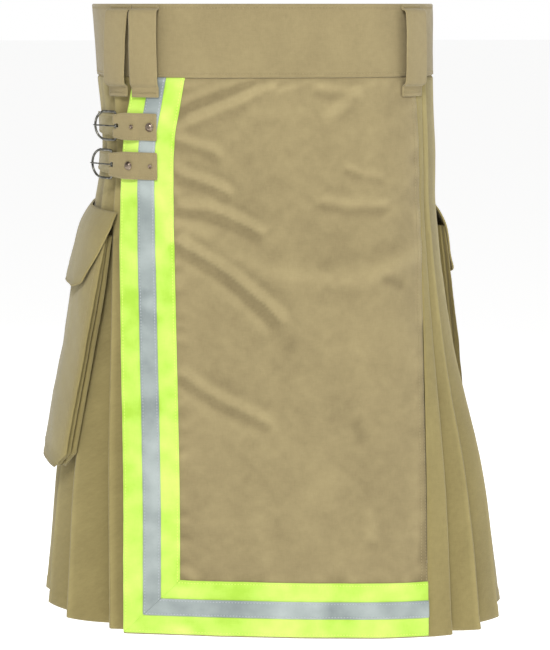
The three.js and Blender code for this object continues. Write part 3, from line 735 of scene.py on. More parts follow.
def pleat_path(side, z):
    """Places (s, off) of the mid-cloth for every row, with the fold edges' columns marked."""
    gap = along(PLEAT_GAP, z)
    seam = half_round(BAND_SEAM, side)
    flare = np.clip((half_round(z, side) - seam) / (half_round(HEM, side) - seam), 0, 1)
    if side > 0:
        start = along(APRON_SEAM, z)
        start_off = np.zeros(len(z))
    else:
        start = np.full(len(z), UNDER_SEAM)
        start_off = along(UNDER_LAYER, z)
    corners = [np.stack([start, start_off], axis=1)]
    waist_folds, hem_folds = FOLDS[side]
    for waist, low in zip(waist_folds, hem_folds):
        edge = waist + (low - waist) * flare
        under = UNDERLAP * (edge - start)
        panel_off = start_off * under / (edge - start)
        lip = np.minimum(gap, 2.4 + 0.35 * gap)
        corners.append(np.stack([edge, np.zeros(len(z))], axis=1))
        corners.append(np.stack([edge, -lip], axis=1))
        corners.append(np.stack([edge - under, panel_off - gap], axis=1))
        corners.append(np.stack([edge - under, panel_off - 2 * gap], axis=1))
        start = edge
        start_off = -2 * gap
    corners.append(np.stack([half_round(z, side) - SEAM_GAP / 2, start_off], axis=1))
    return filled_path(rounded_path(corners, FOLD_RADIUS), 6.5)


PLEAT_ROWS = np.concatenate([
    np.linspace(TUCK_TOP, SKIRT_TOP - 5, 8),
    np.linspace(SKIRT_TOP - 9, HEM + HEM_TURN + 1, 94),
    np.linspace(HEM + HEM_TURN - 1, HEM, 5),
])
for side, name in ((1, "pleats_left"), (-1, "pleats_right")):
    path = pleat_path(side, PLEAT_ROWS)
    s = side * path[:, :, 0].T
    off = path[:, :, 1].T - CANVAS / 2
    z = np.broadcast_to(PLEAT_ROWS[:, None], s.shape)
    hem_wave = pucker(z - (HEM + HEM_TURN), s, 2.0 + side, reach=9, height=0.7, pitch=11)
    grid = on_side(z, s, off + hem_wave)
    edges = (np.abs(np.diff(off, axis=1, prepend=off[:, :1])) > 0.25) & (off > -CANVAS / 2 - 1.6)
    # Outer fold edges are lighter as rubbed wear; cloth further in behind the folds is painted darker as
    # shade.
    wear_and_shade = np.where(edges, 0.55, 0.0) - 0.25 * np.clip(-(off + CANVAS / 2) / 6, 0, 1)
    if side < 0:
        grid = grid[:, ::-1]
        wear_and_shade = wear_and_shade[:, ::-1]
    thick = np.where(z < HEM + HEM_TURN, 2.1, CANVAS)
    piece = cloth_piece(name + "_cloth", grid, thick, path_uv(grid, z), wear_and_shade)
    sew(piece, canvas_painted_side_shade, "khaki_canvas", name)
    row = int(np.argmin(np.abs(PLEAT_ROWS - (HEM + HEM_TURN + 1))))
    normal = normals_of(grid)[row]
    hem_stitches = stitches(name + "_hem_stitches", [(grid[row] + normal * (CANVAS / 2 + 0.1), normal)])

# ---------------------------------------------------------------------------------------------
# Front apron and the under-apron behind it. One flat canvas panel with a free edge on the wearer's
# right, hung from the waistband over the plain under layer. Worn creases cross it.
APRON_EDGE = [(-36, -136), (-60, -140.5), (-94, -146.5), (-150, -148.5), (-420, -150), (-576, -154)]
APRON_SEAM_GAP = 0.8
EDGE_LIFT = 9.0
LIFT_LEAST = 0.3
LIFT_GROWTH = 160.0
LIFT_START = -85.0
LIFT_REACH = 70.0
UNDER_END = 118.0
CREASE_SPREAD = 0.85
CREASE_RISE = 0.85
TAPE_WIDTH = 52.0

# Creases in the apron: (places as (s, z), half width, height).
APRON_FOLDS = [
    ([(22, -26), (5, -33), (-20, -43), (-41, -53), (-64, -62), (-84, -70), (-96, -74)], 7.0, 1.9),
    ([(40, -28), (27, -37), (10, -42), (2, -46)], 5.0, 0.9),
    ([(36, -44), (52, -47), (74, -49), (86, -50)], 6.0, 0.8),
    ([(-98, -124), (-87, -128), (-70, -133), (-51, -141), (-38, -148)], 6.5, 1.6),
    ([(-98, -157), (-87, -159), (-57, -163), (-23, -177), (-8, -186)], 7.5, 1.8),
    ([(-98, -188), (-88, -196), (-49, -219), (-7, -255), (8, -270)], 8.0, 2.0),
    ([(-98, -318), (-86, -324), (-57, -342), (-19, -360), (-4, -368)], 8.0, 1.3),
    ([(36, -152), (52, -154), (76, -157), (106, -157), (118, -154)], 6.0, 0.9),
    ([(66, -118), (78, -124), (100, -130), (112, -130)], 5.0, 0.6),
    ([(-98, -92), (-84, -97), (-62, -103), (-46, -112)], 6.5, 1.1),
]
APRON_RIDGES = [
    ([(112, -30), (94, -40), (75, -53), (57, -66), (44, -74)], 9.0, 1.6),
    ([(-100, -164), (-86, -173), (-53, -194), (-9, -217), (43, -223), (98, -219), (148, -198), (160, -190)],
     15.0, 2.6),
    ([(101, -223), (117, -229), (130, -233)], 7.0, -0.9),
    ([(-28, -236), (-12, -258), (6, -282), (20, -300)], 14.0, -1.6),
    ([(74, -356), (78, -372), (80, -384)], 9.0, -0.9),
    ([(157, -270), (154, -297), (149, -382), (145, -478), (144, -520)], 8.0, -1.6),
    ([(87, -440), (87, -462), (88, -480)], 8.0, 0.8),
    ([(-30, -420), (-20, -470), (-14, -510)], 16.0, 1.2),
    ([(30, -300), (44, -380), (50, -450)], 22.0, 1.4),
]


def apron_lift(z, s):
    """How far the front apron stands off towards its free edge."""
    low = np.clip((BAND_SEAM - 6 - z) / LIFT_GROWTH, 0, 1)
    share = LIFT_LEAST + (1 - LIFT_LEAST) * low
    return EDGE_LIFT * share * np.maximum((LIFT_START - s) / LIFT_REACH, 0) ** 2


def apron_relief(z, s):
    """How far the apron's creases, puckers and swellings stand from its plain form."""
    z, s = np.broadcast_arrays(np.asarray(z, float), np.asarray(s, float))
    total = 1.1 * crinkle(z, s, 85, 60, 1.3) + 0.55 * crinkle(z, s, 22, 30, 4.4)
    total = total + 0.2 * crinkle(z, s, 9, 11, 9.9)
    for points, width, height in APRON_FOLDS:
        total = total + fold(z, s, points, CREASE_SPREAD * width, CREASE_RISE * height)
    for points, width, height in APRON_RIDGES:
        total = total + ridge(z, s, points, CREASE_SPREAD * width, CREASE_RISE * height)
    from_edge = s - along(APRON_EDGE, z)
    total = total + 0.75 * crinkle(z, s * 0, 17, 50, 12.1) * np.exp(-((from_edge - 26) / 24) ** 2)
    total = total + pucker(from_edge - TAPE_WIDTH - 4, z, 15.2, reach=9, height=0.9, pitch=9)
    total = total + pucker(z - (HEM + TAPE_WIDTH + 5), s, 17.5, reach=9, height=0.7, pitch=11)
    total = total + pucker(along(APRON_SEAM, z) - 7 - s, z, 19.5, reach=8, height=0.6, pitch=12)
    total = total + pucker(z + 38, s, 21.5, reach=10, height=0.8, pitch=10)
    return total * np.clip((-35 - z) / 9, 0, 1)


def on_apron(z, s, off=0.0):
    stand = apron_lift(z, s) + apron_relief(z, s)
    return on_kilt(z, s, off + stand * (1 - tuck(z)) - TUCK_DEPTH * tuck(z))


apron_z = np.concatenate([
    np.linspace(TUCK_TOP, SKIRT_TOP - 5, 8),
    np.linspace(SKIRT_TOP - 7, HEM + 3, 197),
    np.linspace(HEM + 2, HEM, 2),
])[:, None]
share = np.linspace(0, 1, 106)[None, :]
apron_start = along(APRON_EDGE, apron_z)
apron_s = apron_start + (along(APRON_SEAM, apron_z) - APRON_SEAM_GAP - apron_start) * share
relief = apron_relief(apron_z, apron_s)
apron_grid = on_apron(apron_z, apron_s, -CANVAS / 2)
# Painted shade and highlight: the apron is coloured darker in its creases' hollows and lighter on their
# ridges, by how far its relief stands from a smoothed copy of it.
slow = np.zeros(relief.shape)
for shift in (-4, -2, 2, 4):
    slow = slow + 0.125 * (np.roll(relief, shift, axis=0) + np.roll(relief, shift, axis=1))
apron_painted_crease_shade = np.clip((relief - slow) * 1.2, -0.6, 0.6)
apron_uv = np.stack([apron_s, np.broadcast_to(apron_z, apron_s.shape)], axis=-1)
over_apron = cloth_piece("over_apron_cloth", apron_grid, CANVAS, apron_uv, apron_painted_crease_shade)
sew(over_apron, front_canvas, "khaki_canvas", "over_apron")

seam_z = np.linspace(SKIRT_TOP - 1, HEM + TAPE_WIDTH + 4, 200)
apron_lines = [
    line_on(on_apron, seam_z, along(APRON_SEAM, seam_z) - 7, 0.1),
    line_on(on_apron, seam_z, along(APRON_SEAM, seam_z) - 1.8, 0.1),
]
apron_stitches = stitches("over_apron_stitches", apron_lines)

under_z = np.concatenate([
    np.linspace(TUCK_TOP, SKIRT_TOP - 5, 7),
    np.linspace(SKIRT_TOP - 12, HEM, 68),
])[:, None]
under_s = np.linspace(-UNDER_SEAM + SEAM_GAP, UNDER_END, 44)[None, :]
under_off = along(UNDER_LAYER, under_z) - CANVAS / 2 + 1.2 * crinkle(under_z, under_s, 160, 55, 6.6)
under_off = under_off - 0.6 * np.clip((-60 - under_z) / 80, 0, 1) - TUCK_DEPTH * tuck(under_z)
under_grid = on_kilt(under_z, under_s, under_off)
under_uv = np.stack(np.broadcast_arrays(under_s, under_z), axis=-1)
under_apron = cloth_piece("under_apron_cloth", under_grid, CANVAS, under_uv)
sew(under_apron, canvas_painted_side_shade, "khaki_canvas", "under_apron")

# ---------------------------------------------------------------------------------------------
# Reflective trim. Bright yellow-green woven tape down the free edge and along the hem, mitred at
# the corner, with a grey reflective strip stitched along its middle. Sewn down by its edges.
YELLOW_WIDTH = 18.0
SILVER_WIDTH = 16.0
TAPE_CLOTH = 1.0
TAPE_LOW = HEM + 1.5
TAPE_TOP = -34.8
YELLOW_OFF = SEAM_GAP + TAPE_CLOTH / 2
SILVER_OFF = YELLOW_OFF + TAPE_CLOTH + SEAM_GAP

# The tape and its thread are given a painted glow so that they look as bright as fluorescent cloth.
yellow_tape = woven_finish(
    "yellow-green tape", (0.37, 0.62, 0.050), (0.65, 0.87, 0.17), yarns=1100, roughness=(0.5, 0.65),
    sheen=0.1, painted_glow=0.09, bump=0.35,
)
yellow_thread = woven_finish(
    "yellow thread", (0.55, 0.83, 0.08), (0.86, 1.0, 0.25), yarns=2600, painted_glow=0.1, bump=0.2,
)
grey_thread = woven_finish("grey thread", (0.36, 0.39, 0.42), (0.6, 0.63, 0.66), yarns=2600, bump=0.2)

# Reflective strip: tiny glass beads set in a grey face, a fine sparkle with slow darker patches.
silver_strip, tree, shader = new_finish("reflective strip")
strip_uv, colour = dyed(tree, shader, (0.215, 0.252, 0.248), (0.445, 0.50, 0.482))
beads = tree.nodes.new("ShaderNodeTexVoronoi")
beads.inputs["Scale"].default_value = 2600
tree.links.new(strip_uv, beads.inputs["Vector"])
emboss(tree, shader, beads.outputs["Distance"], 0.35, 0.0002)
roughen(tree, shader, colour.outputs["Patch"], 0.38, 0.6)
shader.inputs["Metallic"].default_value = 0.15


def tape_tone_and_painted_shade(z, s):
    """Painted shade and highlight: darker in the puckers' hollows and lighter on their ridges, with uneven
    tone at random.
    """
    return np.clip(1.1 * apron_relief(z, s), -0.9, 0.5) + 0.8 * crinkle(z, s, 14, 16, 33.3)


def edge_strip(name, near, far, off, material, slot, node):
    """A strip down the free edge, between two distances from it, cut along the mitre."""
    across = np.linspace(near, far, max(6, int((far - near) / 2.2)))[None, :]
    bottom = TAPE_LOW + across + 0.4
    down = np.concatenate([np.linspace(0, 0.01, 5), np.linspace(0.0145, 1, 186)])[:, None]
    z = TAPE_TOP + (bottom - TAPE_TOP) * down
    s = along(APRON_EDGE, z) + across
    uv = np.stack([np.broadcast_to(across, z.shape), z], axis=-1)
    piece = cloth_piece(name, on_apron(z, s, off), TAPE_CLOTH, uv, tape_tone_and_painted_shade(z, s))
    sew(piece, material, slot, node)
    return piece


def hem_strip(name, near, far, off, material, slot, node):
    """A strip along the hem, between two distances above the tape's lower edge."""
    up = np.linspace(far, near, max(6, int((far - near) / 2.2)))[:, None]
    z = TAPE_LOW + up
    start = along(APRON_EDGE, z) + up + 0.4
    s = start + (along(APRON_SEAM, z) - APRON_SEAM_GAP - start) * np.linspace(0, 1, 110)[None, :]
    z = np.broadcast_to(z, s.shape)
    uv = np.stack([s, z], axis=-1)
    piece = cloth_piece(name, on_apron(z, s, off), TAPE_CLOTH, uv, tape_tone_and_painted_shade(z, s))
    sew(piece, material, slot, node)
    return piece


def edge_lines(distances, off):
    lines = []
    for distance in distances:
        z = np.linspace(SKIRT_TOP - 1, TAPE_LOW + distance + 1.5, 260)
        lines.append(line_on(on_apron, z, along(APRON_EDGE, z) + distance, off))
    return lines


def hem_lines(distances, off):
    lines = []
    for distance in distances:
        z = TAPE_LOW + distance
        s = np.linspace(along(APRON_EDGE, z) + distance + 1.5, along(APRON_SEAM, z) - 2.5, 160)
        lines.append(line_on(on_apron, z, s, off))
    return lines


silver_from = YELLOW_WIDTH
silver_to = YELLOW_WIDTH + SILVER_WIDTH
yellow = (0, TAPE_WIDTH, YELLOW_OFF, yellow_tape, "yellow_tape")
silver = (silver_from, silver_to, SILVER_OFF, silver_strip, "silver_tape")
tape_edge = edge_strip("tape_edge_cloth", *yellow, "tape_edge")
tape_hem = hem_strip("tape_hem_cloth", *yellow, "tape_hem")
silver_edge = edge_strip("silver_edge_cloth", *silver, "silver_edge")
silver_hem = hem_strip("silver_hem_cloth", *silver, "silver_hem")
on_yellow = YELLOW_OFF + TAPE_CLOTH / 2 + 0.1
on_silver = SILVER_OFF + TAPE_CLOTH / 2 + 0.1
yellow_rows = (2.0, TAPE_WIDTH - 2.0)
silver_rows = (silver_from + 1.5, silver_to - 1.5)
edge_stitches = stitches(
    "tape_edge_stitches", edge_lines(yellow_rows, on_yellow), finish=yellow_thread, slot="yellow_tape",
)
hem_tape_stitches = stitches(
    "tape_hem_stitches", hem_lines(yellow_rows, on_yellow), finish=yellow_thread, slot="yellow_tape",
)
silver_edge_stitches = stitches(
    "silver_edge_stitches", edge_lines(silver_rows, on_silver), finish=grey_thread, slot="silver_tape",
)
silver_hem_stitches = stitches(
    "silver_hem_stitches", hem_lines(silver_rows, on_silver), finish=grey_thread, slot="silver_tape",
)

# ---------------------------------------------------------------------------------------------
# Waistband. One double strip of canvas with stiffening inside, edge-stitched at top and bottom. Its
# inner end lies under the front, it goes round the back, and its outer end closes at the right.
BAND_CLOTH = 2.4
BAND_OUTER_END = -142.0
BAND_RAMP = [(-170, 1.0), (-190, 0.7), (-211, 0.32), (-232, 0.0)]


def band_relief(z, s, deep):
    edge = np.clip((z - BAND_SEAM) / 6, 0, 1)
    swell = 0.45 * crinkle(z, s, 40, 70, 14.2) + 0.2 * crinkle(z, s, 14, 18, 16.8)
    gathers = pucker(z - BAND_SEAM - 3, s, 31.0, reach=6, height=0.5, pitch=9)
    gathers = gathers + pucker(z - BAND_TOP + 3, s, 37.0, reach=5, height=0.4, pitch=12)
    return edge * (swell + gathers) * (1 - 0.4 * deep)


def band_piece(z, side_off):
    """Mid-cloth points of the whole band at heights z, side_off outwards."""
    right = float(half_round(0, -1))
    left = float(half_round(0, 1))
    ramp_from = BAND_RAMP[0][0]
    ramp_to = BAND_RAMP[-1][0]
    inner = np.linspace(UNDER_END, ramp_from, 74)
    ramp = np.linspace(ramp_from, ramp_to, 18)[1:]
    back = np.linspace(ramp_to, -right, 62)[1:-1]
    outer = np.linspace(left, BAND_OUTER_END, 156)
    s = np.concatenate([inner, ramp, back, outer])[None, :]
    ramp_share = np.interp(-ramp, [-place for place, _ in BAND_RAMP], [share for _, share in BAND_RAMP])
    deep = np.concatenate([np.ones(len(inner)), ramp_share, np.zeros(len(back) + len(outer))])[None, :]
    off = -BAND_CLOTH / 2 + along(UNDER_LAYER, z) * deep + band_relief(z, s, deep) + side_off
    return on_kilt(z, s, off)


band_z = np.concatenate([
    np.linspace(BAND_TOP, BAND_TOP - 3, 4),
    np.linspace(BAND_TOP - 6, BAND_SEAM + 5, 14),
    np.linspace(BAND_SEAM + 3, BAND_SEAM, 4),
])[:, None]
band_grid = band_piece(band_z, 0)
hug = np.minimum(BAND_TOP - band_z, band_z - BAND_SEAM)
band_thick = BAND_CLOTH - 0.5 * np.exp(-((hug - 3.0) / 1.2) ** 2)
waistband = cloth_piece("waistband_cloth", band_grid, np.broadcast_to(band_thick, band_grid.shape[:2]),
                        path_uv(band_grid, band_z))
sew(waistband, front_canvas, "khaki_canvas", "waistband")
band_lines = []
for up in (BAND_TOP - 3.0, BAND_SEAM + 3.0):
    line = band_piece(np.array([[up]]), BAND_CLOTH / 2 - 0.1)
    outer_line = band_piece(np.array([[up]]), BAND_CLOTH / 2 + 0.9)
    direction = outer_line[0] - line[0]
    band_lines.append((line[0], direction / np.linalg.norm(direction, axis=1, keepdims=True)))
band_stitches = stitches("waistband_stitches", band_lines)

# ---------------------------------------------------------------------------------------------
# Belt loops. Folded strips of canvas, edge-stitched, sewn down at the waistband's top and just
# below its seam with bar tacks, and standing off it so that a wide belt passes through.
WEBBING = 1.6
LOOP_WIDTH = 26.0
LOOP_LEAN = 6.5
LOOP_STANDOFF = 6.2
LOOP_LOW = -53.0
LOOP_BULGE = 0.8
LOOP_EASE = 0.4
LOOPS = {
    "belt_loop_front_right": -121.5,
    "belt_loop_side_right": -150.0,
    "belt_loop_front_left": 143.5,
    "belt_loop_back_right": -330.0,
    "belt_loop_back_left": 330.0,
    "belt_loop_back": 470.0,
}


def flat_lift(z, s, off=0.0):
    return on_kilt(z, s, off + apron_lift(z, s))


def smooth_line(points, count):
    """Evenly spaced points on a smooth line through the given ones, and the length along it."""
    path = through(points, 12)
    run = np.concatenate([[0], np.cumsum(np.linalg.norm(np.diff(path, axis=0), axis=1))])
    even = np.linspace(0, run[-1], count)
    return np.stack([np.interp(even, run, path[:, k]) for k in range(path.shape[1])], axis=1), even


def zigzag(z0, s0, s1, tall=1.6, pitch=0.9):
    """Places of a bar tack's zigzag across the cloth."""
    count = int(abs(s1 - s0) / pitch)
    s = np.linspace(s0, s1, count)
    z = z0 + tall / 2 * np.where(np.arange(count) % 2, 1, -1)
    return z, s


for number, (name, centre) in enumerate(LOOPS.items()):
    low = SEAM_GAP + WEBBING / 2
    high = low + LOOP_STANDOFF
    on_tape = name == "belt_loop_front_right"
    foot = low + (SILVER_OFF + TAPE_CLOTH / 2 if on_tape else SEAM_GAP) + LOOP_EASE / 2
    surface = flat_lift if on_tape else on_kilt
    profile = [(BAND_TOP - 1, low), (BAND_TOP - 4, low + LOOP_EASE), (BAND_TOP - 7, high),
               (10, high + LOOP_BULGE), (-16, high + LOOP_BULGE), (LOOP_LOW + 14, high),
               (LOOP_LOW + 9, foot + LOOP_EASE), (LOOP_LOW, foot)]
    line, run = smooth_line(profile, 60)
    across = np.linspace(-LOOP_WIDTH / 2, LOOP_WIDTH / 2, 19)[None, :]
    z = line[:, :1] + 0 * across
    free = np.exp(-((z - 0) / 26) ** 2)
    narrow = 1 - 0.025 * free
    lean = LOOP_LEAN if name == "belt_loop_side_right" else 0.0
    s = centre - lean * (BAND_TOP - z) / (BAND_TOP - LOOP_LOW) + across * narrow
    curl = 0.5 * free * (across / 13) ** 2 + 0.5 * crinkle(z, s, 16, 22, 40.0 + number)
    hug = LOOP_WIDTH / 2 - np.abs(across)
    grid = surface(z, s, line[:, 1:] + curl)
    thick = WEBBING - 0.35 * np.exp(-((hug - 3) / 1.0) ** 2)
    uv = np.stack(np.broadcast_arrays(across, -run[:, None]), axis=-1)
    piece = cloth_piece(name + "_cloth", grid, np.broadcast_to(thick, z.shape), uv)
    sew(piece, canvas_painted_side_shade if "back" in name else front_canvas, "khaki_canvas", name)
    lines = []
    for shift in (-LOOP_WIDTH / 2 + 3, LOOP_WIDTH / 2 - 3):
        column = int(np.argmin(np.abs(across[0] - shift)))
        normal = normals_of(grid)[:, column]
        lines.append((grid[:, column] + normal * (WEBBING / 2 - 0.05), normal))
    loop_stitches = stitches(name + "_stitches", lines)
    tacks = []
    for up, off in ((BAND_TOP - 2.6, low + 0.15), (LOOP_LOW + 3.5, foot + 0.15)):
        middle = centre - lean * (BAND_TOP - up) / (BAND_TOP - LOOP_LOW)
        tack_z, tack_s = zigzag(up, middle - LOOP_WIDTH / 2 + 2, middle + LOOP_WIDTH / 2 - 2)
        tacks.append(line_on(surface, tack_z, tack_s, off + WEBBING / 2))
    tack_stitches = stitches(name + "_tacks", tacks, pitch=1.5, length=1.7, thick=0.6)

# ---------------------------------------------------------------------------------------------
# Cargo pockets. Canvas bags with bellows sides and clipped lower corners, edge-stitched, sewn on
# the pleats. Each is open at the top under a double-stitched flap that is sewn above its mouth.
POCKET_TOP = -190.0
POCKET_BOTTOM = -424.0
POCKET_WIDTH = 178.0
POCKET_DEPTH = [(-190, 9.2), (-250, 11.5), (-310, 12.8)]
POCKET_STANDOFF = 1.6
POCKET_FRONT = {
    -1: [(-165, 160), (-233, 171), (-308, 189), (-388, 206), (-424, 214)],
    1: [(-165, 250), (-233, 268), (-308, 312), (-388, 358), (-424, 378)],
}
POCKET_CUT = 17.0
FLAP_TOP = -167.0
FLAP_BOTTOM = -243.0
FLAP_OVERHANG = 4.0
FLAP_TAPER = [(-167, 2), (-183, 0.5), (-206, 7.5), (-231, 19.5), (-238, 24.5), (-243, 38)]
FLAP_OFF = [(-167, 1.4), (-176, 6.6), (-190, 11.6), (-215, 14.6), (-243, 18.8)]

# One side of the bellows, from the pleats out to the face: (inwards, share of the depth).
BELLOWS = [(1.0, 0.0), (8.0, 0.16), (9.5, 0.22), (3.0, 0.46), (2.6, 0.52), (9.5, 0.78), (8.5, 0.84),
           (0.4, 0.97)]

# The same fold under the bag: (up from its lower edge, share of the depth, inwards).
BOTTOM_BELLOWS = [(1.0, 0.93, 0.8), (7, 0.78, 5), (7.5, 0.70, 5.5), (1.5, 0.5, 1.5), (2, 0.42, 2),
                  (7, 0.2, 5), (3, 0.1, 3)]


def pocket_ring(side, z, depth_share, shrink):
    """Outer places (s, off) of the bag all round at one height, from the front base over the face."""
    front = float(along(POCKET_FRONT[side], z))
    low = max(0.0, POCKET_BOTTOM + POCKET_CUT - z)
    start = front + low + shrink
    end = front + POCKET_WIDTH - low - shrink
    deep = float(along(POCKET_DEPTH, z)) * depth_share
    near = [(start + inward, POCKET_STANDOFF + 0.5 + (deep - 0.5) * part) for inward, part in BELLOWS]
    far = [(end - inward, POCKET_STANDOFF + 0.5 + (deep - 0.5) * part) for inward, part in BELLOWS][::-1]
    face = [(start + 1.5 + (end - start - 3) * k / 30, POCKET_STANDOFF + deep) for k in range(31)]
    back = [(end - 3 - (end - start - 6) * k / 16, POCKET_STANDOFF) for k in range(17)]
    return np.array(near + face + far + back)


for side, name in ((-1, "pocket_right"), (1, "pocket_left")):
    heights = list(np.linspace(POCKET_TOP, POCKET_BOTTOM + POCKET_CUT, 66))
    heights += list(np.linspace(POCKET_BOTTOM + POCKET_CUT - 3, POCKET_BOTTOM, 6))
    levels = [(z, 1.0, 0.0) for z in heights]
    levels += [(POCKET_BOTTOM + up, depth_share, shrink) for up, depth_share, shrink in BOTTOM_BELLOWS]
    rings = []
    ring_z = []
    for z, depth_share, shrink in levels:
        ring = pocket_ring(side, z, depth_share, shrink)
        s = side * ring[:, 0]
        off = ring[:, 1]
        face_share = np.clip((off - POCKET_STANDOFF) / along(POCKET_DEPTH, z), 0, 1)
        level = np.full(len(s), z)
        swell = 1.5 * crinkle(level, s, 70, 48, 50.0 + side) + 0.4 * crinkle(level, s, 18, 16, 60.0)
        rings.append(on_side(level, s, off + face_share * swell))
        ring_z.append(z)
    grid = np.array(rings)
    ring_z = np.array(ring_z)
    middle = grid[:, ::-1] if side < 0 else grid
    piece = cloth_piece(name + "_cloth", middle, 1.1, path_uv(middle, ring_z[:, None]), wrap=True)
    sew(piece, canvas_painted_side_shade, "khaki_canvas", name)
    rows = slice(3, 66)
    lines = []
    faces_from = len(BELLOWS) + 1
    faces_to = len(BELLOWS) + 29
    for column in (faces_from, faces_to):
        here = grid[rows, column]
        places = np.array([pocket_ring(side, z, 1, 0)[column, 0] for z in ring_z[rows]])
        out = on_side(ring_z[rows], side * places, 30.0) - here
        out /= np.linalg.norm(out, axis=1, keepdims=True)
        lines.append((here + out * 0.6, out))
    bottom_row = 70
    here = grid[bottom_row, faces_from:faces_to + 1]
    out = here.copy()
    out[:, 2] = 0
    out /= np.linalg.norm(out, axis=1, keepdims=True)
    lines.append((here + out * 0.6, out))
    pocket_stitches = stitches(name + "_stitches", lines)


def between(table, row, column):
    """The value between a table's entries, at fractions of rows and columns."""
    j = np.clip(row, 0, table.shape[0] - 1.001)
    i = np.clip(column, 0, table.shape[1] - 1.001)
    j0 = j.astype(int)
    i0 = i.astype(int)
    fj = (j - j0)[:, None]
    fi = (i - i0)[:, None]
    upper = table[j0, i0] * (1 - fi) + table[j0, i0 + 1] * fi
    lower = table[j0 + 1, i0] * (1 - fi) + table[j0 + 1, i0 + 1] * fi
    return upper * (1 - fj) + lower * fj


def flap_line(grid, normals, levels, height, share):
    """A stitch line on a flap's outer face, by height and by share across, with its directions."""
    row = np.interp(-height, -levels, np.arange(len(levels)))
    column = share * (grid.shape[1] - 1)
    out = between(normals, row, column)
    return between(grid, row, column) + out * 0.95, out


for side, name in ((-1, "flap_right"), (1, "flap_left")):
    z_line = np.concatenate([np.linspace(FLAP_TOP, -206, 18), np.linspace(-210, -234, 10),
                             np.linspace(-235.5, FLAP_BOTTOM, 8)])[:, None]
    inwards = along(FLAP_TAPER, z_line) - FLAP_OVERHANG
    front = along(POCKET_FRONT[side], z_line) + inwards
    back = along(POCKET_FRONT[side], z_line) + POCKET_WIDTH - inwards
    place = front + (back - front) * np.linspace(0, 1, 62)[None, :]
    z = np.broadcast_to(z_line, place.shape)
    low = np.clip((FLAP_TOP - 14 - z) / 60, 0, 1)
    from_ends = np.minimum(place - front, back - place)
    curl = 2.2 * low * np.exp(-(from_ends / 14) ** 2) * crinkle(z, place, 40, 20, 70.0 + side)
    wave = low * (1.4 * crinkle(z, place, 60, 34, 72.0 + side) + 0.35 * crinkle(z, place, 12, 14, 74.0))
    grid = on_side(z, side * place, along(FLAP_OFF, z) + CANVAS / 2 + wave + curl)
    order = slice(None, None, 1 if side > 0 else -1)
    grid = grid[:, order]
    hug = np.minimum(from_ends, z - FLAP_BOTTOM)[:, order]
    thick = 2.0 - 0.45 * (np.exp(-((hug - 2.5) / 1.1) ** 2) + np.exp(-((hug - 8.5) / 1.1) ** 2))
    piece = cloth_piece(name + "_cloth", grid, thick, path_uv(grid, z))
    sew(piece, canvas_painted_side_shade, "khaki_canvas", name)
    normals = normals_of(grid)
    lines = []
    levels = z_line[:, 0]
    for inset in (2.5, 8.5):
        heights = np.linspace(FLAP_TOP - 4, FLAP_BOTTOM + inset, 60)
        for end in (0, 1):
            across = POCKET_WIDTH + 2 * (FLAP_OVERHANG - along(FLAP_TAPER, heights))
            lines.append(flap_line(grid, normals, levels, heights, np.abs(end - inset / across)))
        shares = np.linspace(0, 1, 90)
        keep = shares[(shares > 0.02 + inset / 300) & (shares < 0.98 - inset / 300)]
        lines.append(flap_line(grid, normals, levels, np.full(len(keep), FLAP_BOTTOM + inset), keep))
    lines.append(flap_line(grid, normals, levels, np.full(80, FLAP_TOP - 3), np.linspace(0.01, 0.99, 80)))
    flap_stitches = stitches(name + "_stitches", lines)

# ---------------------------------------------------------------------------------------------
# Side buckles. A canvas strap sewn over the tape is folded round the straight bar of a D-shaped
# dark steel ring with a prong, and a tab comes from the side. A dome rivet and an eyelet fix each.
STRAP_WIDTH = 25.0
STRAP_SEWN = [(-111, 0), (-120, 0), (-129, 0.1)]
STRAP_FRONT = [(-134, 1.0), (-143, 1.3)]
STRAP_BACK = [(-143, 0.7), (-134, 0.5)]
BUCKLES = {
    "upper": dict(z=-82.0, limb=-152.5, rivet=-117.0, eyelet=-134.0),
    "lower": dict(z=-119.5, limb=-157.0, rivet=-137.0, eyelet=-117.0),
}
RING_RADIUS = 13.6
RING_CORNER = 2.2
RING_WIRE = 1.15
RING_LIFT = 9.5
LIMB_OFF = 5.9
STRAP_SQUEEZE = 0.85
SLOT_REACH = 4.0
SLOT_HALF = 2.9
STRAP_EASE = 0.95
PRONG_TIP = 1.2
TAB_WIDTH = 20.0
TAB_RUN = [(-226, 0), (-208, 0), (-196, 0.4)]
TAB_RISE = 1.6
TAB_CLEAR = 1.3
RIVET_RADIUS = 4.2
EYELET_RADIUS = 2.1
RIVET_SEAT = 0.13
under_strap = YELLOW_OFF + TAPE_CLOTH / 2 + SEAM_GAP + WEBBING / 2 + STRAP_EASE
over_strap = SILVER_OFF + TAPE_CLOTH / 2 + 2 * SEAM_GAP + WEBBING / 2


def metal_finish(name, dark, light, roughness, scale=900.0):
    """Aged metal: a worn colour that varies by slow patches and fine scratches."""
    material, tree, shader = new_finish(name)
    place = tree.nodes.new("ShaderNodeTexCoord").outputs["Object"]
    tarnish = noise_node(tree, place, 240.0, 4.0, 0.6)
    scratch = noise_node(tree, stretched(tree, place, (scale, scale, scale * 0.15)), 1.0, 2.0)
    ramp = tree.nodes.new("ShaderNodeMix")
    ramp.data_type = "RGBA"
    ramp.inputs[6].default_value = (*dark, 1)
    ramp.inputs[7].default_value = (*light, 1)
    sharper = tree.nodes.new("ShaderNodeMapRange")
    sharper.inputs["From Min"].default_value = 0.35
    sharper.inputs["From Max"].default_value = 0.65
    tree.links.new(tarnish, sharper.inputs["Value"])
    tree.links.new(sharper.outputs["Result"], ramp.inputs["Factor"])
    tree.links.new(ramp.outputs[2], shader.inputs["Base Color"])
    roughen(tree, shader, scratch, *roughness)
    emboss(tree, shader, scratch, 0.15, 0.0001)
    shader.inputs["Metallic"].default_value = 1.0
    return material


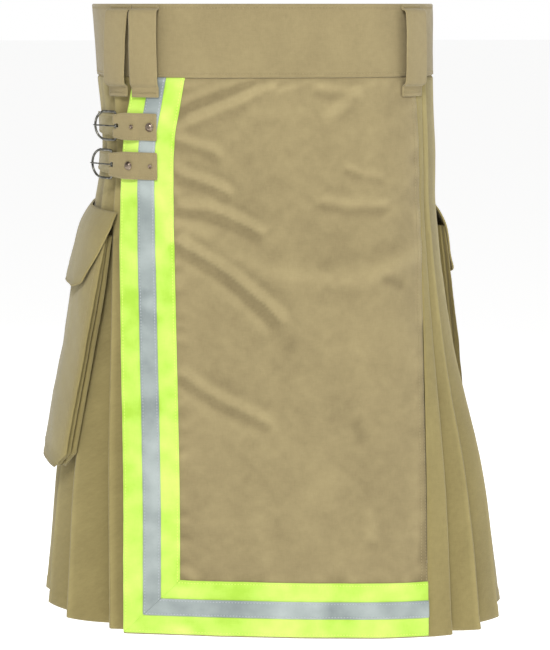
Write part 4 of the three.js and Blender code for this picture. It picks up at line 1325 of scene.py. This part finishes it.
dark_steel = metal_finish("aged dark steel", (0.07, 0.068, 0.058), (0.30, 0.295, 0.26), (0.25, 0.5))
antique_nickel = metal_finish("antique nickel", (0.10, 0.07, 0.05), (0.46, 0.37, 0.29), (0.22, 0.42))


def buckle_frame(z, limb):
    """Origin on the ring's straight bar and the directions across to its far side, out and up."""
    base = LIMB_OFF + float(apron_lift(z, limb + 8))
    near = on_kilt(z, limb, base)
    far = on_kilt(z, limb - 2 * RING_RADIUS, base + RING_LIFT)
    across = (far - near) / np.linalg.norm(far - near)
    out = np.cross([0, 0, 1.0], across)
    out /= np.linalg.norm(out)
    return near, across, out, np.cross(across, out)


def in_frame(frame_axes, x, y, up):
    near, across, out, rise = frame_axes
    x, y, up = (np.asarray(value, float)[..., None] for value in (x, y, up))
    return near + across * x + out * y + rise * up


def swept_wire(name, path, sideways, radius, closed, sides=14):
    """A round wire along a path; sideways is a direction square to the path at each point."""
    count = len(path)
    if closed:
        run = np.roll(path, -1, axis=0) - np.roll(path, 1, axis=0)
    else:
        run = np.gradient(path, axis=0)
    run /= np.linalg.norm(run, axis=1, keepdims=True)
    side = sideways - run * (sideways * run).sum(axis=1, keepdims=True)
    side /= np.linalg.norm(side, axis=1, keepdims=True)
    third = np.cross(run, side)
    angles = np.linspace(0, 2 * math.pi, sides, endpoint=False)
    size = np.broadcast_to(np.asarray(radius, float), (count,))[:, None, None]
    points = (path[:, None] + size * (side[:, None] * np.cos(angles)[None, :, None]
                                      + third[:, None] * np.sin(angles)[None, :, None]))
    faces = []
    for i in range(count if closed else count - 1):
        j = (i + 1) % count
        for k in range(sides):
            m = (k + 1) % sides
            faces.append([i * sides + k, j * sides + k, j * sides + m, i * sides + m])
    points = points.reshape(-1, 3)
    if not closed:
        points = np.concatenate([points, path[:1], path[-1:]])
        for k in range(sides):
            m = (k + 1) % sides
            faces.append([len(points) - 2, k, m, m])
            base = (count - 1) * sides
            faces.append([len(points) - 1, base + m, base + k, base + k])
    faces = [list(dict.fromkeys(face)) for face in faces]
    return new_piece(name, points, faces)


def turned(name, profile, place, out, sides=32):
    """A round piece turned about its outward axis from (radius, height) places."""
    side = np.cross(out, [0, 0, 1.0])
    side /= np.linalg.norm(side)
    third = np.cross(out, side)
    angles = np.linspace(0, 2 * math.pi, sides, endpoint=False)
    around = side[None] * np.cos(angles)[:, None] + third[None] * np.sin(angles)[:, None]
    points = []
    faces = []
    rows = []
    for radius, height in profile:
        if radius < 1e-6:
            rows.append([len(points)])
            points.append(place + out * height)
        else:
            rows.append(list(range(len(points), len(points) + sides)))
            points.extend(place + out * height + around * radius)
    for lower, upper in zip(rows[:-1], rows[1:]):
        for k in range(sides):
            m = (k + 1) % sides
            if len(lower) == 1:
                faces.append([lower[0], upper[m], upper[k]])
            elif len(upper) == 1:
                faces.append([lower[k], lower[m], upper[0]])
            else:
                faces.append([lower[k], lower[m], upper[m], upper[k]])
    return new_piece(name, points, faces)


def lay(run, z, count):
    """Strap cloth laid over the apron along a run of places (s, off)."""
    line, _ = smooth_line(run, count)
    return flat_lift(z, line[None, :, 0], line[None, :, 1])


for name, buckle in BUCKLES.items():
    z0 = buckle["z"]
    axes_here = buckle_frame(z0, buckle["limb"])
    up = np.linspace(STRAP_WIDTH / 2, -STRAP_WIDTH / 2, 17)[:, None]
    bend_radius = RING_WIRE + SEAM_GAP + WEBBING / 2
    front_run = [(s, over_strap + clear) for s, clear in STRAP_SEWN]
    front_run += [(s, under_strap + WEBBING + clear) for s, clear in STRAP_FRONT]
    back_run = [(s, under_strap + clear) for s, clear in STRAP_BACK]

    angles = np.linspace(math.pi / 2, -math.pi / 2, 13)[None, :]
    bend = in_frame(axes_here, *np.broadcast_arrays(
        bend_radius * np.cos(angles), bend_radius * np.sin(angles), up * STRAP_SQUEEZE))
    front = lay(front_run, z0 + up, 18)
    back = lay(back_run, z0 + up, 5)
    steps = np.linspace(0, 1, 5)[1:-1]
    to_bend = [(front[:, -1] * (1 - t) + bend[:, 0] * t)[:, None] for t in steps]
    from_bend = [(bend[:, -1] * (1 - t) + back[:, 0] * t)[:, None] for t in steps]
    grid = np.concatenate([front, *to_bend, bend, *from_bend, back], axis=1)
    near, across_axis, out_axis, rise_axis = axes_here
    centres = (grid[1:, 1:] + grid[:-1, :-1] + grid[1:, :-1] + grid[:-1, 1:]) / 4 - near
    in_slot = (np.abs(centres @ rise_axis) < SLOT_HALF) & (centres @ across_axis > -SLOT_REACH)
    uv = path_uv(grid, z0 + up)
    strap = cloth_piece(f"strap_{name}_cloth", grid, WEBBING - 0.15, uv, cut=in_slot)
    sew(strap, front_canvas, "khaki_canvas", f"strap_{name}")
    edge_rows = []
    normals = normals_of(grid)
    for row in (1, -2):
        edge_rows.append((grid[row, 1:24] + normals[row, 1:24] * (WEBBING / 2 - 0.02), normals[row, 1:24]))
    edge_rows.append((grid[1:-1, 2] + normals[1:-1, 2] * (WEBBING / 2), normals[1:-1, 2]))
    strap_stitches = stitches(f"strap_{name}_stitches", edge_rows, pitch=2.6, length=2.1, thick=0.65)

    # The ring: bent round wire with small corners at its straight bar.
    straight = RING_RADIUS - RING_CORNER
    outline = [(0, t) for t in np.linspace(-straight, straight, 18)]
    outline += [(RING_CORNER - RING_CORNER * math.cos(a), straight + RING_CORNER * math.sin(a))
                for a in np.linspace(0, math.pi / 2, 7)[1:]]
    outline += [(x, RING_RADIUS) for x in np.linspace(RING_CORNER, RING_RADIUS, 9)[1:]]
    outline += [(RING_RADIUS * (1 + math.sin(a)), RING_RADIUS * math.cos(a))
                for a in np.linspace(0, math.pi, 49)[1:]]
    outline += [(x, -RING_RADIUS) for x in np.linspace(RING_RADIUS, RING_CORNER, 9)[1:]]
    outline += [(RING_CORNER - RING_CORNER * math.sin(a), -straight - RING_CORNER * math.cos(a))
                for a in np.linspace(0, math.pi / 2, 7)[1:-1]]
    outline = np.array(outline)
    path = in_frame(axes_here, outline[:, 0], np.zeros(len(outline)), outline[:, 1])
    ring = swept_wire(f"ring_{name}_wire", path, np.tile(out_axis, (len(path), 1)), RING_WIRE, closed=True)
    sew(ring, dark_steel, "dark_steel", f"ring_{name}")

    # The prong: a wire eye round the bar and a finger that rests on the ring's far side.
    eye = RING_WIRE + SEAM_GAP + 0.55
    turn = [(eye * math.cos(a), eye * math.sin(a))
            for a in np.linspace(math.radians(40), math.radians(-270), 30)]
    finger = [(x, eye) for x in np.linspace(1.5, 2 * RING_RADIUS + PRONG_TIP, 26)]
    outline = np.array(turn[:-1] + finger)
    path = in_frame(axes_here, outline[:, 0], outline[:, 1], np.zeros(len(outline)))
    size = np.full(len(outline), 0.72)
    size[:29] = 0.62
    size[-4:] = (0.7, 0.66, 0.55, 0.3)
    prong = swept_wire(f"prong_{name}_wire", path, np.tile(rise_axis, (len(path), 1)), size,
                       closed=False, sides=12)
    sew(prong, dark_steel, "dark_steel", f"prong_{name}")

    # The tab: a folded strip sewn to the side that ends behind the ring's bar.
    base = WEBBING / 2 + TAB_CLEAR
    tab_end = buckle["limb"] - RING_WIRE - SEAM_GAP - 1.5 * WEBBING
    run = [(s, base + clear) for s, clear in TAB_RUN]
    run += [((tab_end + TAB_RUN[-1][0]) / 2, base + 0.6 * TAB_RISE), (tab_end, base + TAB_RISE)]
    line, length = smooth_line(run, 40)
    tab_up = np.linspace(TAB_WIDTH / 2, -TAB_WIDTH / 2, 13)[:, None]
    ripple = 0.35 * crinkle(tab_up, line[None, :, 0], 12, 14, 80.0)
    grid = on_kilt(z0 + tab_up, line[None, :, 0], line[None, :, 1] + ripple)[:, ::-1]
    tab = cloth_piece(f"tab_{name}_cloth", grid, WEBBING - 0.1, path_uv(grid, z0 + tab_up))
    sew(tab, canvas_painted_side_shade, "khaki_canvas", f"tab_{name}")
    normals = normals_of(grid)
    tab_rows = [(grid[row] + normals[row] * (WEBBING / 2 - 0.02), normals[row]) for row in (1, -2)]
    tab_stitches = stitches(f"tab_{name}_stitches", tab_rows, pitch=2.6, length=2.1, thick=0.65)

    # Dome rivet and hollow eyelet, pressed through the strap.
    for part, radius in (("rivet", RIVET_RADIUS), ("eyelet", EYELET_RADIUS)):
        s = buckle[part]
        strap_off = over_strap if s > STRAP_FRONT[0][0] else under_strap + WEBBING + STRAP_FRONT[1][1]
        off = strap_off + float(apron_lift(z0, s)) + WEBBING / 2 + SEAM_GAP + radius * RIVET_SEAT
        place = on_kilt(z0, s, off)
        out = on_kilt(z0, s, off + 1) - place
        if part == "rivet":
            rim = radius
            dome = radius * 0.78
            profile = [(0, -0.4), (rim * 0.96, -0.4), (rim, 0.0), (rim * 0.97, 0.32),
                       (rim * 0.88, 0.45), (dome, 0.5)]
            profile += [(dome * math.cos(a), 0.55 + 1.65 * math.sin(a))
                        for a in np.radians([15, 32, 50, 68, 80])]
            profile.append((0, 2.2))
        else:
            profile = [(0, -0.35), (radius * 0.96, -0.35), (radius, 0.0), (radius * 0.9, 0.5),
                       (radius * 0.72, 0.72), (radius * 0.52, 0.62), (radius * 0.42, 0.3),
                       (radius * 0.4, -0.1), (0, -0.12)]
        fitting = turned(f"{part}_{name}_metal", profile, place, out / np.linalg.norm(out))
        sew(fitting, antique_nickel, "antique_nickel", f"{part}_{name}")
